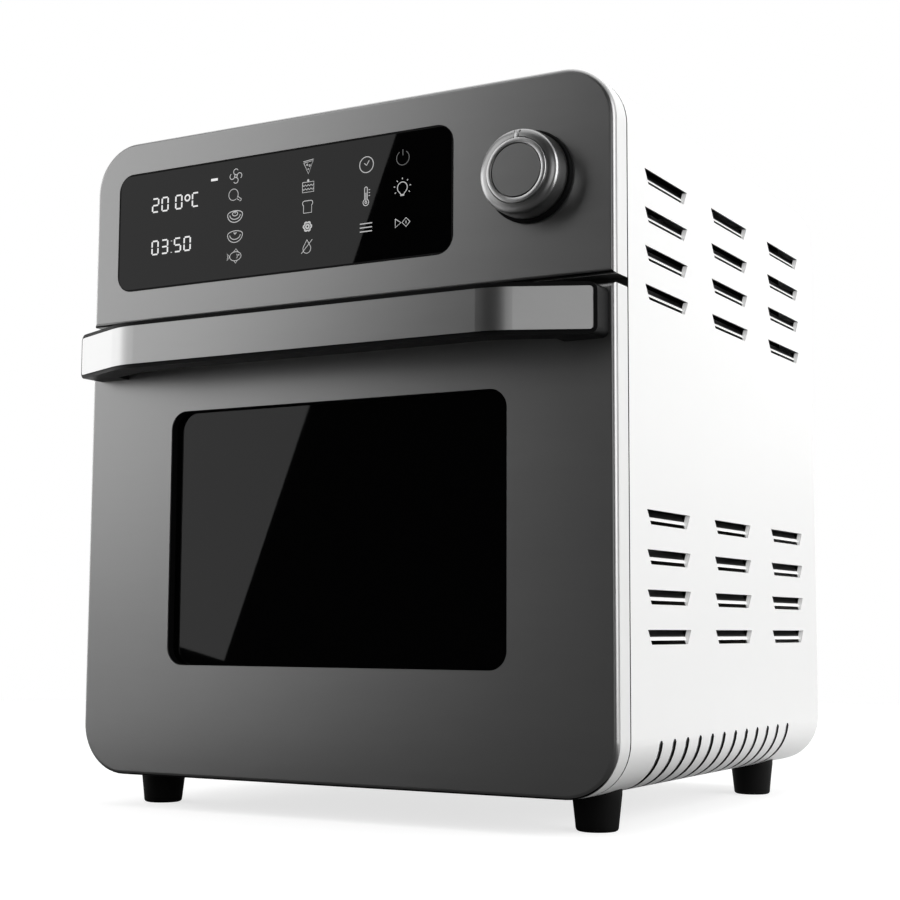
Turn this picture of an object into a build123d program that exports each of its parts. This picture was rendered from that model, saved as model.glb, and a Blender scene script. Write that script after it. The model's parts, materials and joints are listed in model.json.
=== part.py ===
from build123d import *
import os
from math import hypot

# Countertop air fryer oven, in millimetres. Everything is drawn in the casing's own frame:
# X to the right, Y from the front face towards the back, Z up from the casing's underside.
# The finished pieces are then moved so that the origin is under the middle, on the table.

# Casing wrap
case_width = 330
case_depth = 312
corner_radius = 28
sheet = 0.8
fit = 0.1
rear_flange = 12
cover_margin = 4
bottom_lip = 62
foot_height = 18

# Slots in the rear cover and the base plate
vent_count = 15
vent_pitch = 14
vent_width = 4
vent_length = 40
upper_vent_drop = 61
lower_vent_rise = 60
base_lap = 12
base_slots = 6
base_slot_length = 64

# Steel front skins and the moulded bands behind them
skin = 1.0
edge_round = 2.2
rim_depth = 3.2
groove = 0.7
band_back = 15.6
seam = 1.2
frame_recess = 0.7
frame_flange = 12
front_gap = 4.8
panel_height = 106.2
door_above_cavity = 32

# Side louvres: a canted blade in a pocket pressed inwards
louvre_length = 59.6
louvre_height = 7.4
louvre_depth = 5.0
louvre_slant = 5.0
louvre_first = 37.6
louvre_last = 26.4
louvre_columns = 3
louvre_rows = 4
louvre_row_pitch = 20
upper_louvre_drop = 45.1
lower_louvre_rise = 141.5
blade_share = 0.72

# Slots that run round the bottom corners
slot_count = 12
slot_first = 54.7
slot_last = 60.4
slot_width = 3.6
slot_top = 26.4
slot_inset = 39

# Window and display openings in the skins
window_side = 59
window_rise = 61
window_drop = 48.2
window_radius = 10
display_side = 16.8
display_rise = 18.8
display_drop = 18.4
knob_zone = 90.2
display_radius = 10
display_glass_thickness = 3
display_edge_gap = 0.25
display_frame = 4
display_frame_depth = 6
board_thickness = 1.6

# Glazing of the door, from the front to the back
glass_recess = 5.5
outer_glass_thickness = 3
inner_glass_thickness = 3
outer_glass_margin = 10
inner_glass_margin = 7
spacer_width = 8
inner_panel_recess = 1.0

# Moulded bands
door_band_side = 20
door_band_top = 22
door_band_bottom = 16
panel_band_side = 11
panel_band_top = 10
panel_band_bottom = 8
band_ledge = 6
corner_bore = 6
hinge_relief = 1.5

# Door hinge: pins in the door band turn in ears of the frame brackets
hinge_y = 11.5
hinge_z = 3.2
pin_radius = 2.0
pin_clearance = 0.05
ear_radius = 3.9
ear_thickness = 3.0
ear_inset = 47
ear_gap = 0.5
pin_length = 20
bracket_sheet = 1.5
bracket_width = 26
bracket_height = 15

# Oven cavity
cavity_side = 37
cavity_height = 192
cavity_bottom = 26
cavity_rear_space = 44.5
liner_flange = 8
cavity_radius = 10
seal_width = 5
seal_offset = 5
body_clearance = 0.3

# Handle
handle_reach = 34.5
handle_side = 3
handle_height = 25.5
handle_top_gap = 2.0
handle_end = 46
handle_end_reach = 13.4
handle_bend_radius = 45
bar_thickness = 14
bar_corner = 4
post_width = 24
post_reach = 9
post_screw_depth = 9
cover_proud = 0.6
cover_thickness = 1.2
cover_border = 2.2
handle_screw_inset = 11
handle_head_y = 8

# Knob
knob_side = 45.7
knob_rise = 52.8
knob_radius = 22.1
knob_reach = 16.4
knob_round = 2.1
knob_skirt = 3
bezel_radius = 23.7
bezel_thickness = 2.5
knob_shaft_radius = 3.0
shaft_engagement = 4
bush_radius = 4.5
face_ring = 17.6
face_disc = 14.9
face_ring_depth = 1.2
knob_dish = 0.9
pointer_slot = 2.7
pointer_width = 1.7
pointer_depth = 1.8
encoder_size = 14
encoder_depth = 7

# Feet
foot_inset = 27.9
foot_front_y = 38
foot_rear_inset = 46.3
foot_top_radius = 12.6
foot_bottom_radius = 10.6
foot_edge = 1.8
foot_saddle = 4
foot_screw_rise = 9
foot_screw_length = 14

# Fan, motor and heaters
fan_radius = 70
fan_drop = 7
fan_blade_height = 11
fan_hub_radius = 7
cooling_radius = 42
cooling_gap = 23
cooling_blade_height = 8
cooling_hub_radius = 6
shaft_radius = 2.5
shaft_end = 3
motor_radius = 27
motor_height = 28
motor_gap = 32
motor_lug = 38
bracket_span = 120
strap_width = 30
strap_foot = 12
heater_radius = 3.2
heater_tail = 16
terminal_radius = 6
terminal_length = 8
upper_loop_inset = 40
upper_heater_drop = 13
exit_spread = 12
lower_heater_rise = 13
lower_heater_inset = 24
lower_bend_x = 36
lower_front_gap = 28
lower_rear_gap = 34
guard_drop = 26
guard_inset = 24
guard_radius = 24
guard_rings = ((37, 12, 34), (80, 24, 32))
clip_width = 10

# Probe, lamp and cut-out in the cavity walls
probe_x = -70
probe_drop = 31
probe_radius = 1.6
probe_length = 34
lamp_rear_inset = 51.5
lamp_drop = 35
lamp_radius = 11
lens_rim = 2
lens_rim_depth = 1.5
lamp_can_length = 24
cutout_x = 60
cutout_drop = 68
wool = 7
wool_bottom = 40

# Racks and trays
guide_levels = 4
guide_first = 36
guide_top_space = 66
guide_channel = 7
guide_reach = 6
guide_front = 12
guide_end_gap = 10
rack_front = 12.5
rack_end_gap = 5.5
rack_wire = 2.0
rack_corner = 14
rack_side_gap = 2.5
cross_wire = 1.3
cross_count = 13
tray_depth = 15
tray_sheet = 0.8
tray_draft = 4
tray_rim = 6
tray_corner = 14
crumb_depth = 5

# Control board, inlet and terminals
board_side = 23
board_length = 100
board_rise = 7.2
board_drop = 27
board_post = 8
gland_side = 45
gland_z = 112
gland_radius = 7
gland_collar = 3
gland_proud = 5.2
cord_radius = 3.6
terminal_block_offset = 34
terminal_size = (28, 16, 16)
door_screw_drop = 70

# Fasteners
small_screw = 1.5
small_head = 2.6
large_screw = 2.0
large_head = 4.0

# Places that follow from the sizes above
case_edge = case_width / 2
door_height = cavity_bottom + cavity_height + door_above_cavity
panel_bottom = door_height + front_gap
case_height = panel_bottom + panel_height
shell_front = band_back + seam
frame_front = shell_front + frame_recess
frame_back = frame_front + sheet
rear_cover_back = case_depth + sheet
cavity_width = case_width - 2 * cavity_side
cavity_wall = cavity_width / 2
cavity_top = cavity_bottom + cavity_height
cavity_back = case_depth - cavity_rear_space
cavity_depth = cavity_back - frame_front
cavity_middle_y = frame_front + cavity_depth / 2
liner_top = cavity_top + sheet
motor_floor = liner_top + motor_gap
panel_back = band_back - inner_panel_recess
panel_front = panel_back - sheet
window_width = case_width - 2 * window_side
window_height = door_height - window_rise - window_drop
window_centre_z = window_rise + window_height / 2
display_width = case_width - display_side - knob_zone
display_height = panel_height - display_rise - display_drop
display_centre_x = (display_side - knob_zone) / 2
display_centre_z = panel_bottom + display_rise + display_height / 2
handle_width = case_width - 2 * handle_side
handle_bend_x = handle_width / 2 - handle_end
handle_screw_x = handle_width / 2 - handle_screw_inset
handle_top = door_height - handle_top_gap
handle_bottom = handle_top - handle_height
handle_centre_z = (handle_top + handle_bottom) / 2
knob_x = case_edge - knob_side
knob_z = panel_bottom + knob_rise
knob_floor = knob_reach - knob_dish - face_ring_depth
ear_x = case_edge - ear_inset
rack_y = frame_front + rack_front
rack_depth = cavity_back - rack_end_gap - rack_y
upper_heater_z = cavity_top - upper_heater_drop
lower_heater_z = cavity_bottom + lower_heater_rise
lower_heater_x = cavity_wall - lower_heater_inset
probe_z = cavity_top - probe_drop
lamp_y = cavity_back - lamp_rear_inset
lamp_z = cavity_top - lamp_drop
guide_pitch = (cavity_height - guide_first - guide_top_space) / (guide_levels - 1)
gland_x = gland_side - case_edge
gland_back = rear_cover_back + gland_proud


def slab(shape, start, depth):
    """A shape drawn in X and Z, made solid from depth start towards the back."""
    return extrude(Plane.XZ.offset(-start) * shape, depth, dir=(0, 1, 0))


def plan_slab(shape, start, depth):
    """A shape drawn in X and Y, made solid from height start upwards."""
    return extrude(Plane.XY.offset(start) * shape, depth, dir=(0, 0, 1))


def side_slab(shape, start, depth):
    """A shape drawn in Y and Z, made solid from X start towards the right."""
    return extrude(Plane.YZ.offset(start) * shape, depth, dir=(1, 0, 0))


def block(low, high):
    """A box between two corners."""
    size = [b - a for a, b in zip(low, high)]
    return Pos(*low) * Box(*size, align=(Align.MIN, Align.MIN, Align.MIN))


def rounded(width, height, radius, x=0, z=0):
    return Pos(x, z) * RectangleRounded(width, height, radius)


def case_outline(inset=0):
    return rounded(
        case_width - 2 * inset, case_height - 2 * inset, corner_radius - inset, 0, case_height / 2
    )


def front_outline(bottom, top, inset=0):
    """The casing's outline between two heights, drawn in by inset on every side."""
    band = Pos(0, (bottom + top) / 2) * Rectangle(case_width, top - bottom - 2 * inset)
    return case_outline(inset) & band


def rod(points, bend, radius):
    """A round rod along straight runs with rounded bends."""
    path = FilletPolyline(*points, radius=bend)
    section = Plane(origin=path @ 0, z_dir=path % 0) * Circle(radius)
    return sweep(section, path=path)


def upright(x, y, z, radius, height):
    return Pos(x, y, z) * Cylinder(radius, height, align=(Align.CENTER, Align.CENTER, Align.MIN))


def across(x, y, z, radius, length):
    """A cylinder along X that starts at the point given."""
    return Plane(origin=(x, y, z), z_dir=(1, 0, 0)) * Cylinder(
        radius, length, align=(Align.CENTER, Align.CENTER, Align.MIN)
    )


def lengthwise(x, y, z, radius, length):
    """A cylinder along Y that starts at the point given and runs to the back."""
    return Plane(origin=(x, y, z), z_dir=(0, 1, 0)) * Cylinder(
        radius, length, align=(Align.CENTER, Align.CENTER, Align.MIN)
    )


def screw(place, facing, shank, head, length):
    """A pan-head screw whose head stands on place and faces outwards along facing."""
    low = (Align.CENTER, Align.CENTER, Align.MIN)
    high = (Align.CENTER, Align.CENTER, Align.MAX)
    body = Cylinder(head, shank, align=low) + Cylinder(shank, length, align=high)
    return Plane(origin=place, z_dir=facing) * body


def both_sides(piece):
    return [piece, mirror(piece, about=Plane.YZ)]


# Casing


def louvre(front, top):
    """The pocket of one louvre in the right-hand wall, and the hole it needs."""
    outside = case_edge
    back = front + louvre_length
    bottom = top - louvre_height
    blade_shift = sheet * hypot(louvre_depth, louvre_height) / louvre_height
    slit_top = top - louvre_height * blade_share

    def opening(end_wall):
        return Polygon(
            (front + end_wall, top),
            (back - end_wall, top),
            (back - end_wall - louvre_slant, bottom),
            (front + end_wall + louvre_slant, bottom),
            align=None,
        )

    far = louvre_depth + 2 * sheet
    wedge = Polygon(
        (outside, top),
        (outside - louvre_depth - blade_shift, top),
        (outside - blade_shift, bottom),
        (outside, bottom),
        align=None,
    )
    hollow = Polygon(
        (outside + sheet, top + sheet),
        (outside - louvre_depth, top + sheet),
        (outside - louvre_depth, top),
        (outside, bottom),
        (outside + sheet, bottom),
        align=None,
    )
    pocket = side_slab(opening(0), outside - far, far) & slab(wedge, front - 1, louvre_length + 2)
    space = side_slab(opening(sheet), outside - far, far + sheet)
    pocket -= space & slab(hollow, front - 1, louvre_length + 2)
    pocket -= space & block((outside - far, front, bottom - 1), (outside + sheet, back, slit_top))
    hole = side_slab(opening(0), outside - sheet - fit, 2 * sheet)
    return pocket, hole


def body_shell():
    """The white steel wrap: rounded corners, lips underneath, louvres and corner slots."""
    length = case_depth - shell_front
    wrap = slab(case_outline() - case_outline(sheet), shell_front, length)
    flange = case_outline(sheet / 2) - case_outline(sheet + rear_flange)
    wrap += slab(flange, case_depth - sheet, sheet)
    gap = case_edge - bottom_lip
    wrap -= block((-gap, shell_front - 1, -1), (gap, case_depth - sheet, sheet))
    louvre_reach = case_depth - louvre_first - louvre_last - louvre_length
    louvre_pitch = louvre_reach / (louvre_columns - 1)
    pockets = []
    holes = []
    for column in range(louvre_columns):
        for group_top in (case_height - upper_louvre_drop, lower_louvre_rise):
            for row in range(louvre_rows):
                front = louvre_first + column * louvre_pitch
                pocket, hole = louvre(front, group_top - row * louvre_row_pitch)
                pockets += both_sides(pocket)
                holes += both_sides(hole)
    slot_pitch = (case_depth - slot_first - slot_last) / (slot_count - 1)
    half_slot = slot_width / 2
    straight_top = slot_top - half_slot
    for index in range(slot_count):
        middle = slot_first + index * slot_pitch
        low = (case_edge - slot_inset, middle - half_slot, -1)
        high = (case_edge + 1, middle + half_slot, straight_top)
        holes += both_sides(block(low, high))
        holes += both_sides(across(case_edge - 2 * sheet, middle, straight_top, half_slot, 3 * sheet))
    wrap -= holes
    wrap += pockets
    for x, z in rear_screw_places():
        wrap -= lengthwise(x, case_depth - 2 * sheet, z, small_screw, 3 * sheet)
    for x, y in base_screw_places():
        wrap -= upright(x, y, -1, small_screw, 3 * sheet)
    for x, y in foot_places():
        wrap -= upright(x, y, -1, large_screw, foot_saddle + 4)
    return wrap


def rear_screw_places():
    side = case_edge - sheet - rear_flange / 2
    low = sheet + rear_flange / 2
    high = case_height - low
    middle = case_height / 2
    corner = corner_radius + rear_flange
    inner = case_width / 4
    places = []
    for sign in (-1, 1):
        places += [(sign * side, z) for z in (corner, middle, case_height - corner)]
        places += [(sign * inner, z) for z in (high, low)]
    return places


def rear_cover():
    """Flat back with rows of vent slots, on the wrap's rear flange."""
    cover = slab(case_outline(cover_margin), case_depth, sheet)
    cuts = []
    for row_z in (case_height - upper_vent_drop, lower_vent_rise):
        for index in range(vent_count):
            x = (index - (vent_count - 1) / 2) * vent_pitch
            slot = Pos(x, row_z) * Rectangle(vent_width, vent_length)
            cuts.append(slab(slot, case_depth - 1, 3 * sheet))
    cuts.append(lengthwise(gland_x, case_depth - 1, gland_z, gland_radius, 3 * sheet))
    for x, z in rear_screw_places():
        cuts.append(lengthwise(x, case_depth - 1, z, small_screw, 3 * sheet))
    return cover - cuts


def cord_gland():
    """Round inlet bush that grips the edge of the hole in the back."""
    start = terminal_front() + terminal_size[1] - 9
    bush = lengthwise(gland_x, start, gland_z, gland_radius, gland_back - start)
    bush += lengthwise(gland_x, rear_cover_back, gland_z, gland_radius + gland_collar, 2)
    return bush - lengthwise(gland_x, start - 1, gland_z, cord_radius, gland_back - start + 2)


def base_plate():
    """Pressed tray bottom that lies on the wrap's lips."""
    half = case_edge - bottom_lip + base_lap
    front = frame_front + frame_flange + 1
    back = case_depth - sheet - 1
    plate = block((-half, front, sheet), (half, back, 2 * sheet))
    cuts = []
    pitch = (back - front) / (base_slots + 1)
    for row in range(base_slots):
        y = front + (row + 1) * pitch
        for side in (-1, 1):
            slot = Pos(side * half / 2, y) * Rectangle(base_slot_length, vent_width)
            cuts.append(plan_slab(slot, 0, 3 * sheet))
    for x, y in base_screw_places():
        cuts.append(upright(x, y, 0, small_screw, 3 * sheet))
    return plate - cuts


def base_screw_places():
    x = case_edge - bottom_lip + base_lap / 2
    front = foot_front_y + 22
    back = case_depth - 32
    return [(side * x, y) for side in (-1, 1) for y in (front, (front + back) / 2, back)]


def foot(x, y):
    """Tapered rubber foot whose top follows the underside of the wrap."""
    slope = (foot_top_radius - foot_bottom_radius) / foot_height
    outline = Polyline(
        (0, -foot_height),
        (foot_bottom_radius, -foot_height),
        (foot_top_radius, 0),
        (foot_top_radius + slope, foot_saddle),
        (0, foot_saddle),
        close=True,
    )
    face = make_face(Plane.XZ * outline)
    bottom_edge = face.vertices().sort_by(Axis.Z)[:2].sort_by(Axis.X)[-1]
    body = revolve(fillet(bottom_edge, foot_edge), Axis.Z)
    body -= upright(0, 0, -foot_height, large_head + 0.6, foot_screw_rise)
    body -= upright(0, 0, -foot_height, large_screw, foot_height + foot_saddle + 1)
    body = Pos(x, y, 0) * body
    return body - slab(case_outline(), shell_front - 10, case_depth)


def foot_places():
    x = case_edge - foot_inset
    return [(side * x, y) for side in (-1, 1) for y in (foot_front_y, case_depth - foot_rear_inset)]


def feet():
    return Compound(children=[foot(x, y) for x, y in foot_places()])


def foot_screws():
    head_z = foot_screw_rise - foot_height
    return Compound(
        children=[
            screw((x, y, head_z), (0, 0, -1), large_screw, large_head, foot_screw_length)
            for x, y in foot_places()
        ]
    )


# Front frame, cavity and what is fixed to them


def cavity_outline(grow=0):
    return rounded(
        cavity_width + 2 * grow,
        cavity_height + 2 * grow,
        cavity_radius + grow,
        0,
        cavity_bottom + cavity_height / 2,
    )


def front_frame():
    """Steel bulkhead inside the mouth of the wrap, with the oven mouth cut in it."""
    edge = sheet + fit
    frame = slab(case_outline(edge), frame_front, sheet)
    frame += slab(case_outline(edge) - case_outline(edge + sheet), frame_front, frame_flange)
    cuts = [slab(cavity_outline(), frame_front - 1, 3 * sheet)]
    wiring_hole = Pos(30, case_height - 41) * Rectangle(70, 22)
    cuts.append(slab(wiring_hole, frame_front - 1, 3 * sheet))
    for side in (-1, 1):
        middle = side * ear_x
        half = ear_thickness / 2 + ear_gap
        cuts.append(
            block(
                (middle - half, frame_front - 1, 0),
                (middle + half, frame_back + bracket_sheet + 1, hinge_z + ear_radius + ear_gap),
            )
        )
    for x, z in panel_screw_places():
        cuts.append(lengthwise(x, frame_front - 1, z, small_screw, 3 * sheet))
    return frame - cuts


def cavity_liner():
    """Open-fronted steel box with a flange against the back of the front frame."""
    liner = slab(cavity_outline(sheet), frame_back, cavity_back + sheet - frame_back)
    liner += slab(cavity_outline(liner_flange), frame_back, sheet)
    liner -= slab(cavity_outline(), frame_back - 1, cavity_back - frame_back + 1)
    cuts = [upright(0, cavity_middle_y, cavity_top - 1, 8, 3)]
    for x, z in heater_exits():
        cuts.append(lengthwise(x, cavity_back - 1, z, heater_radius, 3))
    cuts.append(lengthwise(probe_x, cavity_back - 1, probe_z, probe_radius, 3))
    cuts.append(across(cavity_wall - 1, lamp_y, lamp_z, lamp_radius, 3))
    return liner - cuts


def heater_exits():
    upper = [(side * exit_spread, upper_heater_z) for side in (-1, 1)]
    return upper + [(side * lower_heater_x, lower_heater_z) for side in (-1, 1)]


def upper_heater():
    """Square loop round the fan, with two ends through the back wall."""
    z = upper_heater_z
    end = cavity_back + heater_tail
    upper_loop = cavity_wall - upper_loop_inset
    near = cavity_middle_y - upper_loop
    far = cavity_middle_y + upper_loop
    points = [
        (exit_spread, end, z),
        (exit_spread, far, z),
        (upper_loop, far, z),
        (upper_loop, near, z),
        (-upper_loop, near, z),
        (-upper_loop, far, z),
        (-exit_spread, far, z),
        (-exit_spread, end, z),
    ]
    return rod(points, 10, heater_radius)


def lower_heater():
    """M-shaped rod above the crumb tray."""
    z = lower_heater_z
    outer = lower_heater_x
    middle = lower_bend_x
    end = cavity_back + heater_tail
    near = frame_front + lower_front_gap
    far = cavity_back - lower_rear_gap
    points = [
        (outer, end, z),
        (outer, near, z),
        (middle, near, z),
        (middle, far, z),
        (-middle, far, z),
        (-middle, near, z),
        (-outer, near, z),
        (-outer, end, z),
    ]
    return rod(points, 14, heater_radius)


def heater_terminals():
    """Ceramic bushes where the rods leave the cavity."""
    bushes = []
    for x, z in heater_exits():
        bush = lengthwise(x, cavity_back + sheet, z, terminal_radius, terminal_length)
        bushes.append(bush - lengthwise(x, cavity_back, z, heater_radius, 2 * terminal_length))
    return Compound(children=bushes)


def heater_clips():
    """Folded ledges on the side walls under the lower rod."""
    top = lower_heater_z - heater_radius
    wall = cavity_wall - fit
    inner = lower_heater_x - 4
    front = cavity_middle_y - clip_width / 2
    back = front + clip_width
    ledge = block((inner, front, top - sheet), (wall, back, top))
    ledge += block((wall - sheet, front, top), (wall, back, top + clip_width))
    return Compound(children=both_sides(ledge))


def fan_guard():
    """Slotted plate on four legs under the fan and the upper rod."""
    z = cavity_top - guard_drop
    guard_size = cavity_width - 2 * guard_inset
    outline = RectangleRounded(guard_size, guard_size, guard_radius)
    guard = plan_slab(Pos(0, cavity_middle_y) * outline, z, sheet)
    cuts = []
    for radius, count, length in guard_rings:
        for place in PolarLocations(radius, count):
            cuts.append(Pos(0, cavity_middle_y, z) * place * Box(length, vent_width, 4 * sheet))
    guard -= cuts
    leg_x = guard_size / 2 - sheet
    for side_x in (-1, 1):
        for side_y in (-1, 1):
            x = side_x * leg_x
            y = cavity_middle_y + side_y * (guard_size / 2 - 40)
            low_x, high_x = sorted((x, x + side_x * sheet))
            guard += block((low_x, y - 6, z), (high_x, y + 6, cavity_top))
            low_x, high_x = sorted((x, x + side_x * 10))
            guard += block((low_x, y - 6, cavity_top - sheet), (high_x, y + 6, cavity_top))
    return guard


def temperature_probe():
    probe = lengthwise(probe_x, cavity_back - probe_length, probe_z, probe_radius, probe_length + 10)
    return probe + lengthwise(probe_x, cavity_back + sheet, probe_z, 4, 3)


def lamp_lens():
    """Round glass in the right-hand wall of the cavity."""
    front = cavity_wall - lens_rim_depth
    lens = across(front, lamp_y, lamp_z, lamp_radius + lens_rim, lens_rim_depth)
    return lens + across(cavity_wall, lamp_y, lamp_z, lamp_radius, sheet)


def lamp_housing():
    x = cavity_wall + sheet
    holder = 6
    can = across(x, lamp_y, lamp_z, lamp_radius + 4, lamp_can_length)
    can -= across(x - 1, lamp_y, lamp_z, lamp_radius + 3, lamp_can_length)
    return can + across(x + lamp_can_length - holder, lamp_y, lamp_z, holder, holder)


def lamp_bulb():
    bulb = across(cavity_wall + sheet + 4, lamp_y, lamp_z, 4, lamp_can_length - 10)
    end = bulb.edges().filter_by(GeomType.CIRCLE).sort_by(Axis.X)[0]
    return chamfer(end, 2)


def rack_guide():
    """Right-hand side plate with a ledge for each level and one above it."""
    wall = cavity_wall
    front = frame_front + guide_front
    back = cavity_back - guide_end_gap
    low = level_z(0) - tray_depth
    high = level_z(guide_levels - 1) + 2 * guide_channel
    plate = block((wall - tray_sheet, front, low), (wall, back, high))
    for level in range(guide_levels):
        for z in (level_z(level) - sheet, level_z(level) + guide_channel):
            plate += block((wall - guide_reach, front, z), (wall - tray_sheet, back, z + sheet))
    return plate


def level_z(level):
    return cavity_bottom + guide_first + level * guide_pitch


def insulation():
    """Mineral wool over the top and sides of the cavity liner."""
    front = frame_front + frame_flange + 2
    back = cavity_back - 6
    blanket = slab(cavity_outline(sheet + wool) - cavity_outline(sheet + fit), front, back - front)
    blanket -= block((-case_edge, front, 0), (case_edge, back, wool_bottom))
    blanket -= upright(0, cavity_middle_y, cavity_top, 14, 3 * wool)
    blanket -= across(cavity_wall, lamp_y, lamp_z, lamp_radius + 5, 3 * wool)
    half = strap_width / 2 + 3
    for side in (-1, 1):
        middle = side * (bracket_span + strap_foot) / 2
        low = (middle - strap_foot / 2 - 2, cavity_middle_y - half, cavity_top)
        high = (middle + strap_foot / 2 + 2, cavity_middle_y + half, cavity_top + 3 * wool)
        blanket -= block(low, high)
    return blanket


def motor_bracket():
    """Bent strap on the cavity ceiling that carries the motor."""
    half = bracket_span / 2
    inner = half - bracket_sheet
    outer = half + strap_foot
    floor = liner_top + bracket_sheet
    ceiling = motor_floor - bracket_sheet
    outline = Polygon(
        (-outer, liner_top), (-inner, liner_top), (-inner, ceiling), (inner, ceiling),
        (inner, liner_top), (outer, liner_top), (outer, floor), (half, floor),
        (half, motor_floor), (-half, motor_floor), (-half, floor), (-outer, floor),
        align=None,
    )
    strap = slab(outline, cavity_middle_y - strap_width / 2, strap_width)
    return strap - upright(0, cavity_middle_y, liner_top, 9, motor_gap + 5)


def fan_motor():
    """Round motor with its bearing bore on the fan's axis."""
    can = upright(0, cavity_middle_y, motor_floor, motor_radius, motor_height)
    top = can.edges().filter_by(GeomType.CIRCLE).sort_by(Axis.Z)[-1]
    can = fillet(top, 3)
    low = (-motor_lug, cavity_middle_y - 7, motor_floor)
    high = (motor_lug, cavity_middle_y + 7, motor_floor + 2)
    can += block(low, high)
    bore = shaft_radius + pin_clearance
    return can - upright(0, cavity_middle_y, motor_floor - 1, bore, motor_height + 2)


def fan_shaft():
    low = cavity_top - fan_drop - fan_blade_height - shaft_end
    high = motor_floor + motor_height + shaft_end
    return upright(0, cavity_middle_y, low, shaft_radius, high - low)


def bladed_disc(radius, z, blade_count, blade_height, hub_radius):
    """A disc with upright curved-back blades under it and a hub on the shaft."""
    disc = upright(0, 0, 0, radius, sheet)
    for place in PolarLocations(radius * 0.7, blade_count):
        blade = Box(radius * 0.5, sheet, blade_height, align=(Align.CENTER, Align.CENTER, Align.MAX))
        disc += place * Rot(0, 0, 28) * blade
    disc += upright(0, 0, -blade_height, hub_radius, blade_height + sheet)
    disc -= upright(0, 0, -blade_height - 1, shaft_radius, blade_height + 4)
    return Pos(0, cavity_middle_y, z) * disc


def hot_air_fan():
    return bladed_disc(fan_radius, cavity_top - fan_drop, 8, fan_blade_height, fan_hub_radius)


def cooling_fan():
    height = liner_top + cooling_gap
    return bladed_disc(cooling_radius, height, 6, cooling_blade_height, cooling_hub_radius)


def hinge_bracket():
    """Right-hand bracket: an ear with the hinge bore and a foot on the front frame."""
    back = frame_back + bracket_sheet
    low = sheet + body_clearance
    ear = Pos(hinge_y, hinge_z) * Circle(ear_radius)
    top = hinge_z + ear_radius
    ear += Pos((hinge_y + back) / 2, (low + top) / 2) * Rectangle(back - hinge_y, top - low)
    ear -= Pos(hinge_y, hinge_z) * Circle(pin_radius + pin_clearance)
    bracket = side_slab(ear, ear_x - ear_thickness / 2, ear_thickness)
    half = bracket_width / 2
    low = 2 * sheet + body_clearance
    return bracket + block((ear_x - half, frame_back, low), (ear_x + half, back, low + bracket_height))


def control_board():
    """Power board on four posts behind the front frame, with its transformer, relay and capacitor."""
    left = board_side - case_edge
    low = panel_bottom + board_rise
    high = case_height - board_drop
    face = frame_back + board_post
    board = block((left, face, low), (left + board_length, face + board_thickness, high))
    for x in (left + 5, left + board_length - 5):
        for z in (low + 5, high - 5):
            board += lengthwise(x, frame_back, z, 3, board_post)
    top = face + board_thickness
    board += block((left + 10, top, low + 28), (left + 40, top + 24, low + 60))
    board += block((left + 50, top, low + 34), (left + 68, top + 14, low + 62))
    board += lengthwise(left + 80, top, low + 46, 8, 20)
    return board + block((left + 14, top, low + 6), (left + 82, top + 10, low + 14))


def thermal_cutout():
    """Round cut-out with its two ears on the cavity's back wall."""
    front = cavity_back + sheet
    z = cavity_top - cutout_drop
    cutout = lengthwise(cutout_x, front, z, 8, 6)
    return cutout + block((cutout_x - 12, front, z - 6), (cutout_x + 12, front + 1.2, z + 6))


def terminal_front():
    return case_depth - terminal_size[1]


def terminal_block():
    """Mains terminals on the inside of the back, beside the inlet."""
    x = gland_x + terminal_block_offset
    length, depth, height = terminal_size
    low = (x - length / 2, terminal_front(), gland_z - height / 2)
    return block(low, (x + length / 2, case_depth, gland_z + height / 2))


# Control panel


def pan(bottom, top):
    """A shallow steel skin with a rolled edge."""
    blank = slab(front_outline(bottom, top), 0, rim_depth)
    face = blank.faces().sort_by(Axis.Y)[0]
    blank = fillet(face.edges(), edge_round)
    return blank - slab(front_outline(bottom, top, skin), skin, rim_depth)


def band(bottom, top):
    """The light moulding behind a skin, with a tongue inside the skin's edge."""
    tongue = slab(front_outline(bottom, top, skin + fit), skin, rim_depth + groove - skin)
    return tongue + slab(front_outline(bottom, top), rim_depth + groove, band_back - rim_depth - groove)


def window_outline(grow=0):
    width = window_width + 2 * grow
    height = window_height + 2 * grow
    return rounded(width, height, window_radius + grow / 2, 0, window_centre_z)


def display_outline(grow=0):
    return rounded(
        display_width + 2 * grow,
        display_height + 2 * grow,
        display_radius + grow,
        display_centre_x,
        display_centre_z,
    )


def panel_plate():
    plate = pan(panel_bottom, case_height)
    plate -= slab(display_outline(), -1, skin + 2)
    return plate - lengthwise(knob_x, -1, knob_z, bush_radius, skin + 2)


def panel_hollow():
    low = panel_bottom + panel_band_bottom
    high = case_height - panel_band_top
    return rounded(
        case_width - 2 * panel_band_side, high - low, corner_radius - panel_band_side, 0, (low + high) / 2
    )


def panel_screw_places():
    x = case_edge - panel_band_side / 2
    low = panel_bottom + 14
    high = case_height - corner_radius - 4
    return [(-x, low), (x, low), (-x, high), (x, high)]


def panel_band():
    moulding = band(panel_bottom, case_height) - slab(panel_hollow(), 0, band_back + 1)
    for x, z in panel_screw_places():
        moulding += lengthwise(x, band_back, z, 4, frame_front - band_back)
        moulding -= lengthwise(x, band_back - 8, z, small_screw, frame_front - band_back + 9)
    return moulding


def case_screws():
    """The small screws of the rear cover, the base plate and the control panel."""
    panel_length = sheet + frame_front - band_back + 6
    screws = [
        screw((x, rear_cover_back, z), (0, 1, 0), small_screw, small_head, 7) for x, z in rear_screw_places()
    ]
    screws += [screw((x, y, 0), (0, 0, -1), small_screw, small_head, 5) for x, y in base_screw_places()]
    screws += [
        screw((x, frame_back, z), (0, 1, 0), small_screw, small_head, panel_length)
        for x, z in panel_screw_places()
    ]
    return Compound(children=screws)


def display_glass():
    return slab(display_outline(-display_edge_gap), 0, display_glass_thickness)


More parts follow.
